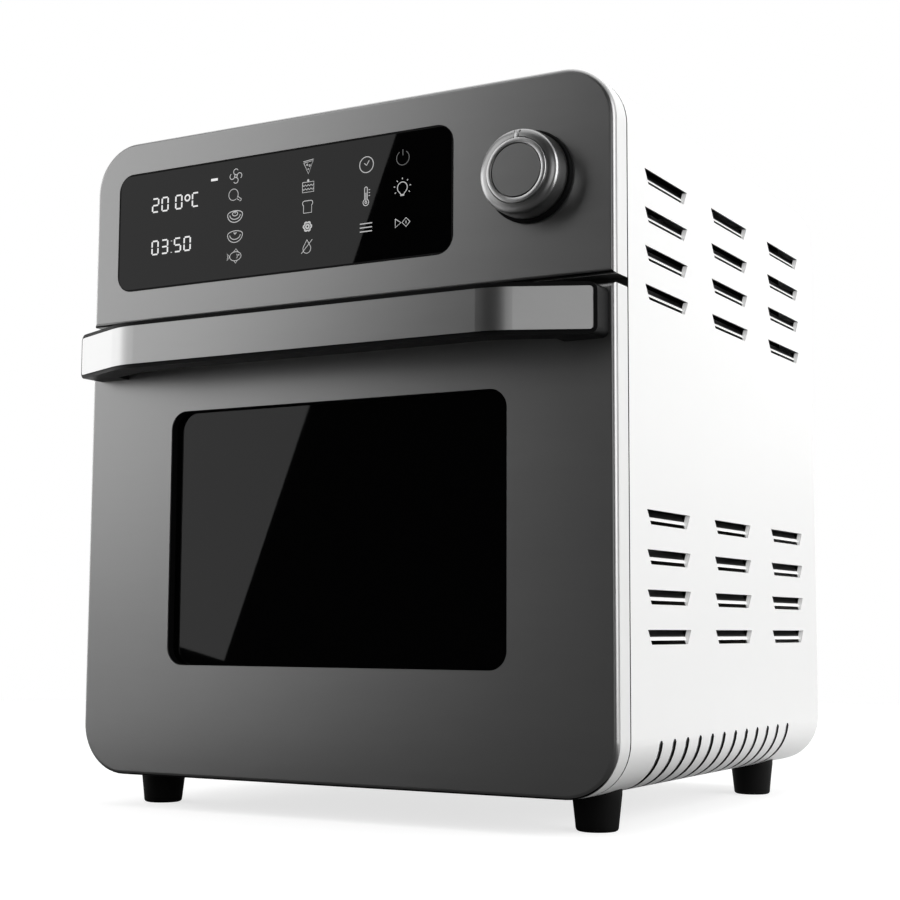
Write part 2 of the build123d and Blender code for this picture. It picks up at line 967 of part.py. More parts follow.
def display_carrier():
    """Black frame that holds the glass in the panel and the board behind it."""
    carrier = slab(display_outline(display_frame), skin, display_frame_depth - skin)
    carrier -= slab(display_outline(-display_edge_gap), 0, display_glass_thickness)
    return carrier - slab(display_outline(-display_frame - 3), 0, display_frame_depth + 1)


def display_board():
    """Touch and display board with its digit module, behind the carrier."""
    front = display_frame_depth
    module_depth = front - display_glass_thickness
    board = slab(display_outline(-2), front, board_thickness)
    module_x = display_centre_x - display_width / 2 + 40
    module = Pos(module_x, display_centre_z) * Rectangle(46, display_height - 19)
    board += slab(module, display_glass_thickness, module_depth)
    chip = Pos(display_centre_x + 60, display_centre_z) * Rectangle(20, 20)
    return board + slab(chip, front + board_thickness, 3)


def knob_bezel():
    """Black collar on the panel under the knob."""
    collar = lengthwise(knob_x, -bezel_thickness, knob_z, bezel_radius, bezel_thickness)
    edge = collar.edges().filter_by(GeomType.CIRCLE).sort_by(Axis.Y)[0]
    collar = chamfer(edge, 0.6)
    return collar - lengthwise(knob_x, -bezel_thickness - 1, knob_z, bush_radius, bezel_thickness + 2)


def encoder():
    """Rotary encoder behind the panel, its bush through the skin and the collar."""
    body = slab(Pos(knob_x, knob_z) * Rectangle(encoder_size, encoder_size), skin, encoder_depth)
    body += lengthwise(knob_x, -bezel_thickness, knob_z, bush_radius, bezel_thickness + skin)
    bore_depth = bezel_thickness + 1 + skin + shaft_engagement + body_clearance
    bore = knob_shaft_radius + pin_clearance
    return body - lengthwise(knob_x, -bezel_thickness - 1, knob_z, bore, bore_depth)


def knob_profile(points):
    """Turns a profile, given as radius and height above the panel, about the knob's axis."""
    face = make_face(Polyline(*points, close=True))
    turned = revolve(Plane.XZ * face, Axis.Z)
    return Plane(origin=(knob_x, 0, knob_z), z_dir=(0, -1, 0)) * turned


def knob_body():
    """Turned metal knob: straight flank, rounded edge, dished face and pointer notch."""
    low = bezel_thickness + body_clearance
    under = low + knob_skirt
    inner = knob_radius - knob_skirt
    body = knob_profile(
        [
            (knob_shaft_radius, under),
            (inner, under),
            (inner, low),
            (knob_radius, low),
            (knob_radius - 0.4, knob_reach - knob_round),
            (knob_radius - 0.9, knob_reach - 0.8),
            (knob_radius - knob_round, knob_reach),
            (face_ring + 0.6, knob_reach - knob_dish),
            (face_ring, knob_floor),
            (knob_shaft_radius, knob_floor),
        ]
    )
    floor = knob_reach - pointer_depth
    return body - pointer_block(pointer_slot, knob_reach + 1, floor, knob_radius + 1)


def pointer_block(width, high, low, outer):
    """A radial bar in the knob's rim, between two heights above the panel."""
    inner = knob_z + face_ring - 0.5
    half = width / 2
    return block((knob_x - half, -high, inner), (knob_x + half, -low, knob_z + outer))


def knob_insert():
    """Bright cap let into the face: a disc, a groove, a raised ring and the pointer on the rim."""
    lip = knob_reach - 0.4
    plate = knob_reach - 0.8
    ring = face_ring - 0.4
    cap = knob_profile(
        [
            (0, knob_floor),
            (ring, knob_floor),
            (ring, plate),
            (ring - 0.4, lip),
            (ring - 1.2, lip),
            (ring - 1.6, plate - 0.4),
            (face_disc + 0.3, plate - 0.4),
            (face_disc, plate),
            (0, plate),
        ]
    )
    return cap + pointer_block(pointer_width, lip, knob_reach - pointer_depth, knob_radius - 1)


def knob_shaft():
    """Spindle from the knob into the encoder."""
    length = knob_floor + skin + shaft_engagement
    return lengthwise(knob_x, -knob_floor, knob_z, knob_shaft_radius, length)


# Door


def door_plate():
    plate = pan(0, door_height) - slab(window_outline(), -1, skin + 2)
    for x in (-handle_screw_x, handle_screw_x):
        plate -= lengthwise(x, -1, handle_centre_z, large_screw, skin + 2)
    return plate


def door_hollow(grow=0):
    low = door_band_bottom
    high = door_height - door_band_top
    width = case_width - 2 * door_band_side
    return rounded(width + 2 * grow, high - low + 2 * grow, corner_bore + grow, 0, (low + high) / 2)


def door_band():
    """The light moulding round the door, rebated for the inner panel and cut for the hinges."""
    moulding = band(0, door_height) - slab(door_hollow(), 0, band_back + 1)
    moulding -= slab(door_hollow(band_ledge), panel_front, band_back)
    back = band_back + 1
    wedge = Polygon(
        (band_back - hinge_relief, -1),
        (back, -1),
        (back, hinge_relief),
        (band_back, hinge_relief),
        (band_back - hinge_relief, 0),
        align=None,
    )
    moulding -= side_slab(wedge, -case_edge, case_width)
    for side in (-1, 1):
        middle = side * ear_x
        half = ear_thickness / 2 + ear_gap
        reach = ear_radius + ear_gap
        moulding -= block((middle - half, hinge_y - reach, -1), (middle + half, back, hinge_z + reach))
        moulding -= across(middle - pin_length / 2, hinge_y, hinge_z, pin_radius, pin_length)
        screw_x = side * handle_screw_x
        moulding -= lengthwise(screw_x, 0, handle_centre_z, large_screw, back)
        moulding -= lengthwise(screw_x, handle_head_y, handle_centre_z, large_head + 0.4, band_back)
    for x, z in door_screw_places():
        moulding -= lengthwise(x, panel_front - 6, z, small_screw, 8)
    return moulding


def door_screw_places():
    side = case_edge - door_band_side + band_ledge / 2
    low = door_band_bottom - band_ledge / 2
    high = door_height - door_band_top + band_ledge / 2
    places = []
    for sign in (-1, 1):
        places += [(sign * side, z) for z in (window_rise, door_height - door_screw_drop)]
        places += [(sign * door_screw_x(), z) for z in (low, high)]
    return places


def door_screw_x():
    return window_width / 3


def door_screws():
    return Compound(
        children=[
            screw((x, panel_back, z), (0, 1, 0), small_screw, small_head, sheet + 5)
            for x, z in door_screw_places()
        ]
    )


def door_inner_panel():
    """Pressed steel back of the door, in the band's rebate, open behind the window."""
    panel = slab(door_hollow(band_ledge - fit), panel_front, sheet)
    panel -= slab(window_outline(), panel_front - 1, 3 * sheet)
    for x, z in door_screw_places():
        panel -= lengthwise(x, panel_front - 1, z, small_screw, 3 * sheet)
    return panel


def window_surround():
    """Black frame that lines the window opening in front of the outer pane."""
    ring = window_outline(outer_glass_margin) - window_outline(fit)
    return slab(ring, skin, glass_recess - skin)


def window_glass():
    return slab(window_outline(outer_glass_margin), glass_recess, outer_glass_thickness)


def inner_glass():
    front = panel_front - inner_glass_thickness
    return slab(window_outline(inner_glass_margin), front, inner_glass_thickness)


def glass_spacer():
    """Frame that keeps the two panes apart."""
    front = glass_recess + outer_glass_thickness
    ring = window_outline(outer_glass_margin) - window_outline(outer_glass_margin - spacer_width)
    return slab(ring, front, panel_front - inner_glass_thickness - front)


def door_seal():
    """Silicone gasket round the oven mouth, on the back of the door."""
    inner = cavity_outline(seal_offset)
    outer = cavity_outline(seal_offset + seal_width)
    return slab(outer - inner, panel_back, frame_front - body_clearance - panel_back)


def hinge_pin():
    """Right-hand hinge pin, held in the door band."""
    return across(ear_x - pin_length / 2, hinge_y, hinge_z, pin_radius, pin_length)


def handle_front(grow=0):
    """Plan outline of the handle's front: straight middle, bends and swept ends."""
    reach = handle_reach - cover_proud
    half = handle_width / 2
    outline = Polyline(
        (-half, 0),
        (-half, -handle_end_reach),
        (-handle_bend_x, -reach),
        (handle_bend_x, -reach),
        (half, -handle_end_reach),
        (half, 0),
        close=True,
    )
    face = make_face(outline)
    bends = face.vertices().sort_by(Axis.Y)[:2]
    face = fillet(bends, handle_bend_radius)
    return offset(face, grow) if grow else face


def handle_body():
    """Black grip: a bar that sweeps back to a post at each end."""
    inner_reach = handle_reach - cover_proud - bar_thickness
    post_x = handle_width / 2 - post_width
    bend_x = handle_bend_x - 6
    hollow = make_face(
        Polyline(
            (-post_x, 1),
            (-post_x, -post_reach),
            (-bend_x, -inner_reach),
            (bend_x, -inner_reach),
            (post_x, -post_reach),
            (post_x, 1),
            close=True,
        )
    )
    hollow = fillet(hollow.vertices().sort_by(Axis.Y)[:2], handle_bend_radius / 2)
    grip = plan_slab(handle_front() - hollow, handle_bottom, handle_height)
    face_shape = rounded(handle_width, handle_height, bar_corner, 0, handle_centre_z)
    grip &= slab(face_shape, -handle_reach - 1, handle_reach + 1)
    grip -= cover_solid()
    for x in (-handle_screw_x, handle_screw_x):
        grip -= lengthwise(x, -post_screw_depth, handle_centre_z, large_screw, post_screw_depth + 1)
    return grip


def cover_solid():
    """Smooth steel strip let into the front of the grip."""
    low = handle_bottom + cover_border
    height = handle_height - 2 * cover_border
    layer = handle_front(cover_proud) - handle_front(cover_proud - cover_thickness)
    strip = plan_slab(layer, low, height)
    width = handle_width - 2 * cover_border + 1
    shape = rounded(width, height, 1.6, 0, handle_centre_z)
    return strip & slab(shape, -handle_reach - 1, handle_reach - 8)


def handle_screws():
    length = handle_head_y + post_screw_depth - 1
    return Compound(
        children=[
            screw((x, handle_head_y, handle_centre_z), (0, 1, 0), large_screw, large_head, length)
            for x in (-handle_screw_x, handle_screw_x)
        ]
    )


# Racks and trays


def wire_rack():
    """Bent wire frame with cross wires, on the second level."""
    half = cavity_wall - rack_side_gap
    z = level_z(1) + body_clearance + rack_wire
    plan = RectangleRounded(2 * (half - rack_wire), rack_depth, rack_corner)
    edge = (Pos(0, rack_y + rack_depth / 2, z) * plan).wire()
    rack = sweep(Plane(origin=edge @ 0, z_dir=edge % 0) * Circle(rack_wire), path=edge)
    pitch = 2 * (half - 2 * rack_corner) / (cross_count - 1)
    for index in range(cross_count):
        x = (index - (cross_count - 1) / 2) * pitch
        rack += lengthwise(x, rack_y, z + rack_wire, cross_wire, rack_depth)
    return rack


def baking_tray():
    """Pressed tray that hangs by its rim from the first level."""
    half_x = cavity_wall - guide_reach - rack_side_gap
    half_y = rack_depth / 2 - tray_rim
    rim_z = level_z(0) + body_clearance

    def plate(z, inset):
        """The tray's plan at a height, drawn in by inset from the mouth."""
        shape = RectangleRounded(2 * (half_x - inset), 2 * (half_y - inset), tray_corner - inset)
        return Plane.XY.offset(z) * Pos(0, rack_y + rack_depth / 2) * shape

    tray = loft([plate(rim_z - tray_depth, tray_draft), plate(rim_z, 0)])
    rim = RectangleRounded(2 * (cavity_wall - rack_side_gap), rack_depth, tray_corner + tray_draft)
    tray += plan_slab(Pos(0, rack_y + rack_depth / 2) * rim, rim_z, tray_sheet)
    floor = plate(rim_z - tray_depth + tray_sheet, tray_draft + tray_sheet)
    return tray - loft([floor, plate(rim_z + tray_sheet, tray_sheet)])


def crumb_tray():
    """Shallow tray on the cavity floor, with a folded front to pull it by."""
    half = cavity_wall - cavity_radius
    back = rack_y + rack_depth
    floor = cavity_bottom + body_clearance
    tray = block((-half, rack_y, floor), (half, back, floor + crumb_depth))
    low = (tray_sheet - half, rack_y + tray_sheet, floor + tray_sheet)
    return tray - block(low, (half - tray_sheet, back - tray_sheet, floor + crumb_depth + 1))


def left(piece):
    return mirror(piece, about=Plane.YZ)


pieces = {
    "body_shell": body_shell(),
    "rear_cover": rear_cover(),
    "case_screws": case_screws(),
    "cord_gland": cord_gland(),
    "base_plate": base_plate(),
    "feet": feet(),
    "foot_screws": foot_screws(),
    "front_frame": front_frame(),
    "cavity_liner": cavity_liner(),
    "upper_heater": upper_heater(),
    "lower_heater": lower_heater(),
    "heater_terminals": heater_terminals(),
    "heater_clips": heater_clips(),
    "fan_guard": fan_guard(),
    "temperature_probe": temperature_probe(),
    "lamp_lens": lamp_lens(),
    "lamp_housing": lamp_housing(),
    "lamp_bulb": lamp_bulb(),
    "rack_guide_right": rack_guide(),
    "rack_guide_left": left(rack_guide()),
    "insulation": insulation(),
    "motor_bracket": motor_bracket(),
    "fan_motor": fan_motor(),
    "fan_shaft": fan_shaft(),
    "hot_air_fan": hot_air_fan(),
    "cooling_fan": cooling_fan(),
    "hinge_bracket_right": hinge_bracket(),
    "hinge_bracket_left": left(hinge_bracket()),
    "hinge_pin_right": hinge_pin(),
    "hinge_pin_left": left(hinge_pin()),
    "power_board": control_board(),
    "thermal_cutout": thermal_cutout(),
    "terminal_block": terminal_block(),
    "panel_plate": panel_plate(),
    "panel_band": panel_band(),
    "display_glass": display_glass(),
    "display_carrier": display_carrier(),
    "display_board": display_board(),
    "knob_bezel": knob_bezel(),
    "encoder": encoder(),
    "knob_body": knob_body(),
    "knob_insert": knob_insert(),
    "knob_shaft": knob_shaft(),
    "door_plate": door_plate(),
    "door_band": door_band(),
    "door_inner_panel": door_inner_panel(),
    "door_screws": door_screws(),
    "window_surround": window_surround(),
    "window_glass": window_glass(),
    "inner_glass": inner_glass(),
    "glass_spacer": glass_spacer(),
    "door_seal": door_seal(),
    "handle_body": handle_body(),
    "handle_cover": cover_solid(),
    "handle_screws": handle_screws(),
    "wire_rack": wire_rack(),
    "baking_tray": baking_tray(),
    "crumb_tray": crumb_tray(),
}

# The origin is on the table, under the middle of the whole oven.
middle_y = (gland_back - handle_reach) / 2
stand = Pos(0, -middle_y, foot_height)
os.makedirs("parts", exist_ok=True)
for name, piece in pieces.items():
    export_step(stand * piece, f"parts/{name}.step")
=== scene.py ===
import json
from math import cos, pi, radians, sin, tau

import bmesh
import bpy
from mathutils import Matrix, Vector


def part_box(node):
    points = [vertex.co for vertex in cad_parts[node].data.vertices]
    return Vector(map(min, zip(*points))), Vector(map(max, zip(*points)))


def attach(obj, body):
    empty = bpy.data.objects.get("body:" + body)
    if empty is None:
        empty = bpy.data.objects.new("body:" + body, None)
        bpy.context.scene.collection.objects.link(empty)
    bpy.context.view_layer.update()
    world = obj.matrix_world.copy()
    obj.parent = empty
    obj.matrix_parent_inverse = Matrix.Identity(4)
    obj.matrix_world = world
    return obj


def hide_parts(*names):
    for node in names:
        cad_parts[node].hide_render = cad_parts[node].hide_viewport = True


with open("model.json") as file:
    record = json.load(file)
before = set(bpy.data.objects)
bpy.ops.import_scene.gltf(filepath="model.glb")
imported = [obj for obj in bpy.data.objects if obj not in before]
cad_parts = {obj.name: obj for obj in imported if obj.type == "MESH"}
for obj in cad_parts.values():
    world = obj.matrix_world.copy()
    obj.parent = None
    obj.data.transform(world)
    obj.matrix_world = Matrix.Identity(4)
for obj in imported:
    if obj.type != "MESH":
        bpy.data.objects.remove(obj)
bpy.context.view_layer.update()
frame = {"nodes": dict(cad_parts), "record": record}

# Places are given as on the casing: millimetres right of its middle, behind the front face
# and above its underside. place() turns them into the frame's metres.
MM = 0.001
door_low, door_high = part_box("door_plate")
display_low, display_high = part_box("display_glass")
knob_low, knob_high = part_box("knob_body")
knob_centre = (knob_low + knob_high) / 2
shell_low, shell_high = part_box("body_shell")
shell_middle = (shell_low.z + shell_high.z) / 2


def place(x, y, z):
    return Vector((x * MM, door_low.y + y * MM, door_low.z + z * MM))


# Camera, below the middle of the oven and to its right
CAMERA_AT = (495.1, -744.0, 81.7)
CAMERA_YAW = 29.54
CAMERA_PITCH = 6.02
CAMERA_ROLL = 0.26
FOCAL_PIXELS = 1692.7
PICTURE_PIXELS = 900
SENSOR = 36


def add_camera():
    yaw, pitch, roll = (radians(a) for a in (CAMERA_YAW, CAMERA_PITCH, CAMERA_ROLL))
    ahead = Vector((-sin(yaw) * cos(pitch), cos(yaw) * cos(pitch), sin(pitch)))
    level = Vector((cos(yaw), sin(yaw), 0))
    above = level.cross(ahead)
    right = level * cos(roll) + above * sin(roll)
    up = above * cos(roll) - level * sin(roll)
    data = bpy.data.cameras.new("camera")
    data.sensor_width = SENSOR
    data.lens = FOCAL_PIXELS * SENSOR / PICTURE_PIXELS
    data.clip_start = 0.02
    data.clip_end = 50
    camera = bpy.data.objects.new("camera", data)
    turn = Matrix((right, up, -ahead)).transposed().to_4x4()
    camera.matrix_world = Matrix.Translation(place(*CAMERA_AT)) @ turn
    bpy.context.scene.collection.objects.link(camera)
    bpy.context.scene.camera = camera


# Node writing


class Signal:
    """One socket of a node tree that can be used in sums."""

    def __init__(self, tree, socket):
        self.tree = tree
        self.socket = socket

    def math(self, operation, *others):
        node = self.tree.nodes.new("ShaderNodeMath")
        node.operation = operation
        for socket, value in zip(node.inputs, (self, *others)):
            feed(self.tree, socket, value)
        return Signal(self.tree, node.outputs[0])

    def __add__(self, other):
        return self.math("ADD", other)

    def __mul__(self, other):
        return self.math("MULTIPLY", other)

    def __sub__(self, other):
        return self.math("SUBTRACT", other)

    def __rsub__(self, other):
        return self.math("MULTIPLY", -1).math("ADD", other)

    def __gt__(self, other):
        return self.math("GREATER_THAN", other)

    __radd__ = __add__
    __rmul__ = __mul__

    def size(self):
        return self.math("ABSOLUTE")

    def either(self, other):
        """The larger of two: for masks, where one or the other holds."""
        return self.math("MAXIMUM", other)

    def held(self):
        """Kept between 0 and 1."""
        return self.math("MAXIMUM", 0.0).math("MINIMUM", 1.0)


def feed(tree, socket, value):
    """Puts a value on a socket, or links a signal to it."""
    if isinstance(value, Signal):
        tree.links.new(value.socket, socket)
        return
    if hasattr(socket, "default_value") and hasattr(socket.default_value, "__len__"):
        if not hasattr(value, "__len__"):
            value = (value, value, value)
        if len(socket.default_value) == 4 and len(value) == 3:
            value = (*value, 1)
    socket.default_value = value


class Nodes:
    """A node tree under construction."""

    def __init__(self, tree):
        self.tree = tree

    def node(self, kind, settings=None, inputs=None, output=0):
        made = self.tree.nodes.new("ShaderNode" + kind)
        for name, value in (settings or {}).items():
            if name == "stops":
                ramp = made.color_ramp
                ramp.elements[0].position, ramp.elements[0].color = value[0][0], (*value[0][1], 1)
                ramp.elements[1].position, ramp.elements[1].color = value[-1][0], (*value[-1][1], 1)
                for position, colour in value[1:-1]:
                    ramp.elements.new(position).color = (*colour, 1)
            else:
                setattr(made, name, value)
        for name, value in (inputs or {}).items():
            feed(self.tree, made.inputs[name], value)
        return Signal(self.tree, made.outputs[output])

    def mix(self, share, first, second):
        """A colour between two colours."""
        return self.node(
            "Mix", {"data_type": "RGBA"}, {"Factor": share, 6: first, 7: second}, output=2
        )


class Finish(Nodes):
    """A material: its shader and what is painted on it."""

    def __init__(self, name, **shader):
        self.material = bpy.data.materials.new(name)
        self.material.use_nodes = True
        super().__init__(self.material.node_tree)
        self.shader = self.tree.nodes["Principled BSDF"]
        self.spot = self.node("TexCoord", output=3)
        for socket, value in shader.items():
            self.set(socket.replace("_", " "), value)

    def set(self, socket, value):
        feed(self.tree, self.shader.inputs[socket], value)

    def axes(self):
        split = self.tree.nodes.new("ShaderNodeSeparateXYZ")
        self.tree.links.new(self.spot.socket, split.inputs[0])
        return [Signal(self.tree, out) for out in split.outputs]

    def normals(self):
        """How much the surface faces along X, Y and Z."""
        coordinates = self.tree.nodes.new("ShaderNodeTexCoord")
        split = self.tree.nodes.new("ShaderNodeSeparateXYZ")
        self.tree.links.new(coordinates.outputs["Normal"], split.inputs[0])
        return [Signal(self.tree, out) for out in split.outputs]

    def stretched(self, x, y, z):
        """Object coordinates scaled by different amounts along the three axes."""
        return self.node("VectorMath", {"operation": "MULTIPLY"}, {0: self.spot, 1: (x, y, z)})

    def noise(self, scale, detail=3, roughness=0.5, vector=None):
        return self.node(
            "TexNoise",
            inputs={
                "Vector": vector or self.spot, "Scale": scale, "Detail": detail, "Roughness": roughness
            },
        )

    def between(self, signal, low, high):
        """Spreads a 0 to 1 signal over the given span."""
        return signal * (high - low) + low

    def bump(self, height, strength, distance):
        relief = self.node("Bump", inputs={"Height": height, "Strength": strength, "Distance": distance})
        self.set("Normal", relief)


def shaded(finish, base, spread, signal):
    """Base colour that varies a little with a signal."""
    dark = tuple(max(0, c * (1 - spread)) for c in base)
    light = tuple(min(1, c * (1 + spread)) for c in base)
    finish.set("Base Color", finish.mix(signal, dark, light))


def sprayed(coat, roughness):
    """Roughness and faint orange peel of a sprayed coat."""
    coat.set("Roughness", coat.between(coat.noise(60), roughness - 0.04, roughness + 0.04))
    coat.bump(coat.noise(900, 2), 0.25, 0.00004)


def painted(name, base, roughness):
    """Sprayed coat."""
    coat = Finish(name, Specular_IOR_Level=0.45)
    shaded(coat, base, 0.012, coat.noise(14))
    sprayed(coat, roughness)
    return coat.material


# Slots round the bottom corners: their number, the first and the last, their upper end and inner end,
# and how far from its middle a slot's painted shade reaches
SLOTS = 12
SLOT_FIRST = place(0, 54.7, 0).y
SLOT_LAST = place(0, 251.6, 0).y
SLOT_PITCH = (SLOT_LAST - SLOT_FIRST) / (SLOTS - 1)
SLOT_TOP = place(0, 0, 25).z
SLOT_INNER = 126 * MM
SLOT_REACH = 2.3 * MM


def slot_shade(coat):
    """Mask of painted shade in the corner slots and on a thin edge round them."""
    x, y, z = coat.axes()
    # Painted shade in and along each slot
    turn = (y - SLOT_FIRST) * (1 / SLOT_PITCH) + 0.5
    near = (SLOT_REACH / SLOT_PITCH - (turn.math("FRACT") - 0.5).size()) > 0
    between = (y > SLOT_FIRST - SLOT_REACH) * ((SLOT_LAST + SLOT_REACH - y) > 0)
    return near * between * ((SLOT_TOP - z) > 0) * (x.size() > SLOT_INNER)


# Wrap: the heights that its louvres keep within, their distance from its front and rear edges,
# the depth in a louvre where the painted shade begins, and the widths of the painted shade on its sheet
# edges
LOUVRES_ABOVE = 60 * MM
LOUVRES_BELOW_TOP = 44 * MM
LOUVRES_FROM_EDGE = 15 * MM
LOUVRE_SHADE = 2.5 * MM
SHADE_BLEND = 0.2 * MM
FRONT_EDGE = 1.2 * MM
REAR_EDGE = 3 * MM
# Painted light: the colour that the louvre blades glow with
BLADE_GLOW = (0.24, 0.24, 0.24)


def wrap_paint_and_shade(name, base, inside, roughness):
    """White coat outside the bent sheet. Near black as painted shade on its inner side, where it also
    stands for dark primer, in its louvres and slots and on its cut edges, and a painted glow on the louvre
    blades.
    """
    coat = Finish(name, Specular_IOR_Level=0.45, Emission_Strength=1.0)
    x, y, z = coat.axes()
    across, along, up = coat.normals()
    outwards = across * x + up * (z - shell_middle)
    low = (shell_low.z + LOUVRES_ABOVE - z) > 0
    front = (shell_low.y + FRONT_EDGE - y) > 0
    # Painted shade on the sheet's cut edges by the low slots and at the front
    edge_shade = (along.size() > 0.6) * low.either(front) * ((shell_high.y - REAR_EDGE - y) > 0)
    sunk = shell_high.x - x.size()
    straight = (z > shell_low.z + LOUVRES_ABOVE) * ((0 - z) > LOUVRES_BELOW_TOP - shell_high.z)
    straight = straight * (y > shell_low.y + LOUVRES_FROM_EDGE)
    straight = straight * ((0 - y) > LOUVRES_FROM_EDGE - shell_high.y)
    # Painted shade deep in the louvres and on their faces turned downwards
    pocket_shade = ((sunk - LOUVRE_SHADE) * (1 / SHADE_BLEND)).held() * straight
    ceiling_shade = ((0 - up) > 0.5) * (sunk > 0.1 * MM) * straight
    # All painted shade in one mask: inward faces (dark primer as well), cut edges, louvres and slots
    painted_shade = ((0 - outwards) > 0.06).either(edge_shade).either(pocket_shade).either(ceiling_shade)
    painted_shade = painted_shade.either(slot_shade(coat))
    # Painted light: the blades glow so that they look lit inside the louvres
    lit_blade = (sunk > 0.3 * MM) * straight * (1 - painted_shade)
    coat.set("Emission Color", coat.mix(lit_blade, (0, 0, 0), BLADE_GLOW))
    outer = coat.mix(coat.noise(14), tuple(c * 0.985 for c in base), base)
    coat.set("Base Color", coat.mix(painted_shade, outer, inside))
    sprayed(coat, roughness)
    return coat.material


def moulded(name, base, roughness, grain=0.5, scale=2200, gloss=0.4):
    """Injection-moulded plastic with a fine spark-eroded grain."""
    plastic = Finish(name, Specular_IOR_Level=gloss)
    shaded(plastic, base, 0.05, plastic.noise(40))
    plastic.set("Roughness", plastic.between(plastic.noise(120), roughness - 0.05, roughness + 0.05))
    plastic.bump(plastic.noise(scale, 2), grain, 0.00003)
    return plastic.material


def banded(name, base, seam_shade, roughness):
    """Light moulding with painted shade: black on its rear side in the seam and underneath above the door.
    """
    plastic = Finish(name, Specular_IOR_Level=0.4)
    across, along, up = plastic.normals()
    # Painted shade: black on faces turned to the rear in the seam and on undersides above the door
    under = ((0 - up) > 0.7) * (plastic.axes()[2] > door_high.z)
    light = plastic.mix(plastic.noise(40), tuple(c * 0.96 for c in base), base)
    plastic.set("Base Color", plastic.mix((along > 0.5).either(under), light, seam_shade))
    plastic.set("Roughness", plastic.between(plastic.noise(120), roughness - 0.05, roughness + 0.05))
    plastic.bump(plastic.noise(2200, 2), 0.4, 0.00003)
    return plastic.material


def plate_steel(name, base, under, roughness):
    """Dark stainless plate with a fine satin, and painted shade in black on the flange it turns underneath.
    """
    metal = Finish(name, Metallic=1.0)
    streak = metal.noise(1, 3, 0.5, metal.stretched(30, 160, 160))
    satin = metal.mix(streak, tuple(c * 0.98 for c in base), tuple(c * 1.02 for c in base))
    # Painted shade: faces turned downwards are black
    below = (0 - metal.normals()[2]) > 0.6
    metal.set("Base Color", metal.mix(below, satin, under))
    metal.set("Roughness", metal.between(streak, roughness - 0.015, roughness + 0.015))
    return metal.material


def brushed(name, base, roughness, along):
    """Metal brushed along one axis: streaks are long that way and fine across it."""
    metal = Finish(name, Metallic=1.0)
    streak = metal.noise(1, 4, 0.65, metal.stretched(*along))
    cloud = metal.noise(9, 2)
    shaded(metal, base, 0.05, streak * 0.6 + cloud * 0.4)
    metal.set("Roughness", metal.between(streak, roughness - 0.06, roughness + 0.06))
    metal.bump(streak, 0.12, 0.00003)
    return metal.material


def turned(name, base, roughness, centre):
    """Metal turned on a lathe about an axis along Y: fine rings round the centre."""
    metal = Finish(name, Metallic=1.0)
    x, y, z = metal.axes()
    across, height = x - centre.x, z - centre.z
    radius = (across * across + height * height).math("SQRT")
    ring_spot = metal.node("CombineXYZ", inputs={0: radius * 2600, 1: y * 2600, 2: 0.0})
    ring = metal.node("TexNoise", inputs={"Vector": ring_spot, "Scale": 1.0, "Detail": 3.0})
    shaded(metal, base, 0.07, ring)
    metal.set("Roughness", metal.between(ring, roughness - 0.05, roughness + 0.05))
    metal.bump(ring, 0.15, 0.00003)
    return metal.material


# Corner radius of the display glass and the width of its ground edge
PANEL_CORNER = 8 * MM
PANEL_RIM = 0.9 * MM


def black_panel(name, base, roughness):
    """Polished black panel with faint wiping marks and a matt ground edge."""
    panel = Finish(name, Specular_IOR_Level=0.27)
    wipe = panel.noise(1, 3, 0.6, panel.stretched(30, 30, 140))
    shaded(panel, base, 0.25, wipe)
    x, y, z = panel.axes()
    middle = (display_low + display_high) / 2
    half = (display_high - display_low) / 2
    beyond_x = ((x - middle.x).size() - (half.x - PANEL_CORNER)).math("MAXIMUM", 0.0)
    beyond_z = ((z - middle.z).size() - (half.z - PANEL_CORNER)).math("MAXIMUM", 0.0)
    rim = (beyond_x * beyond_x + beyond_z * beyond_z).math("SQRT") > PANEL_CORNER - PANEL_RIM
    panel.set("Roughness", panel.between(wipe, roughness, roughness + 0.03).either(rim * 0.8))
    return panel.material


def tinted_glass(name, tint, clear, base):
    """Glass pane: part clear, part covered by its dark tint."""
    pane = Finish(name, Roughness=0.02, IOR=1.5)
    pane.set("Transmission Weight", 1.0)
    pane.set("Base Color", pane.mix(pane.noise(12), tint, clear))
    film = pane.tree.nodes.new("ShaderNodeBsdfPrincipled")
    feed(pane.tree, film.inputs["Base Color"], pane.mix(pane.noise(30), base, tuple(c * 1.3 for c in base)))
    feed(pane.tree, film.inputs["Roughness"], pane.between(pane.noise(8), 0.0, 0.03))
    feed(pane.tree, film.inputs["Specular IOR Level"], 0.26)
    both = pane.tree.nodes.new("ShaderNodeMixShader")
    feed(pane.tree, both.inputs[0], pane.between(pane.noise(5), 0.86, 0.9))
    pane.tree.links.new(pane.shader.outputs[0], both.inputs[1])
    pane.tree.links.new(film.outputs[0], both.inputs[2])
    pane.tree.links.new(both.outputs[0], pane.tree.nodes["Material Output"].inputs[0])
    return pane.material


def clear_glass(name, tint):
    pane = Finish(name, Roughness=0.02, IOR=1.5)
    pane.set("Transmission Weight", 1.0)
    shaded(pane, tint, 0.03, pane.noise(40))
    return pane.material


def heated(name):
    """Heater sheath, blued and browned by use."""
    sheath = Finish(name, Metallic=0.8)
    heat = sheath.noise(18, 3)
    sheath.set("Base Color", sheath.node(
        "ValToRGB",
        {"stops": [(0.3, (0.05, 0.045, 0.04)), (0.5, (0.11, 0.08, 0.06)), (0.7, (0.06, 0.065, 0.08))]},
        {"Fac": heat},
    ))
    sheath.set("Roughness", sheath.between(sheath.noise(300), 0.4, 0.6))
    sheath.bump(sheath.noise(700), 0.3, 0.00005)
    return sheath.material


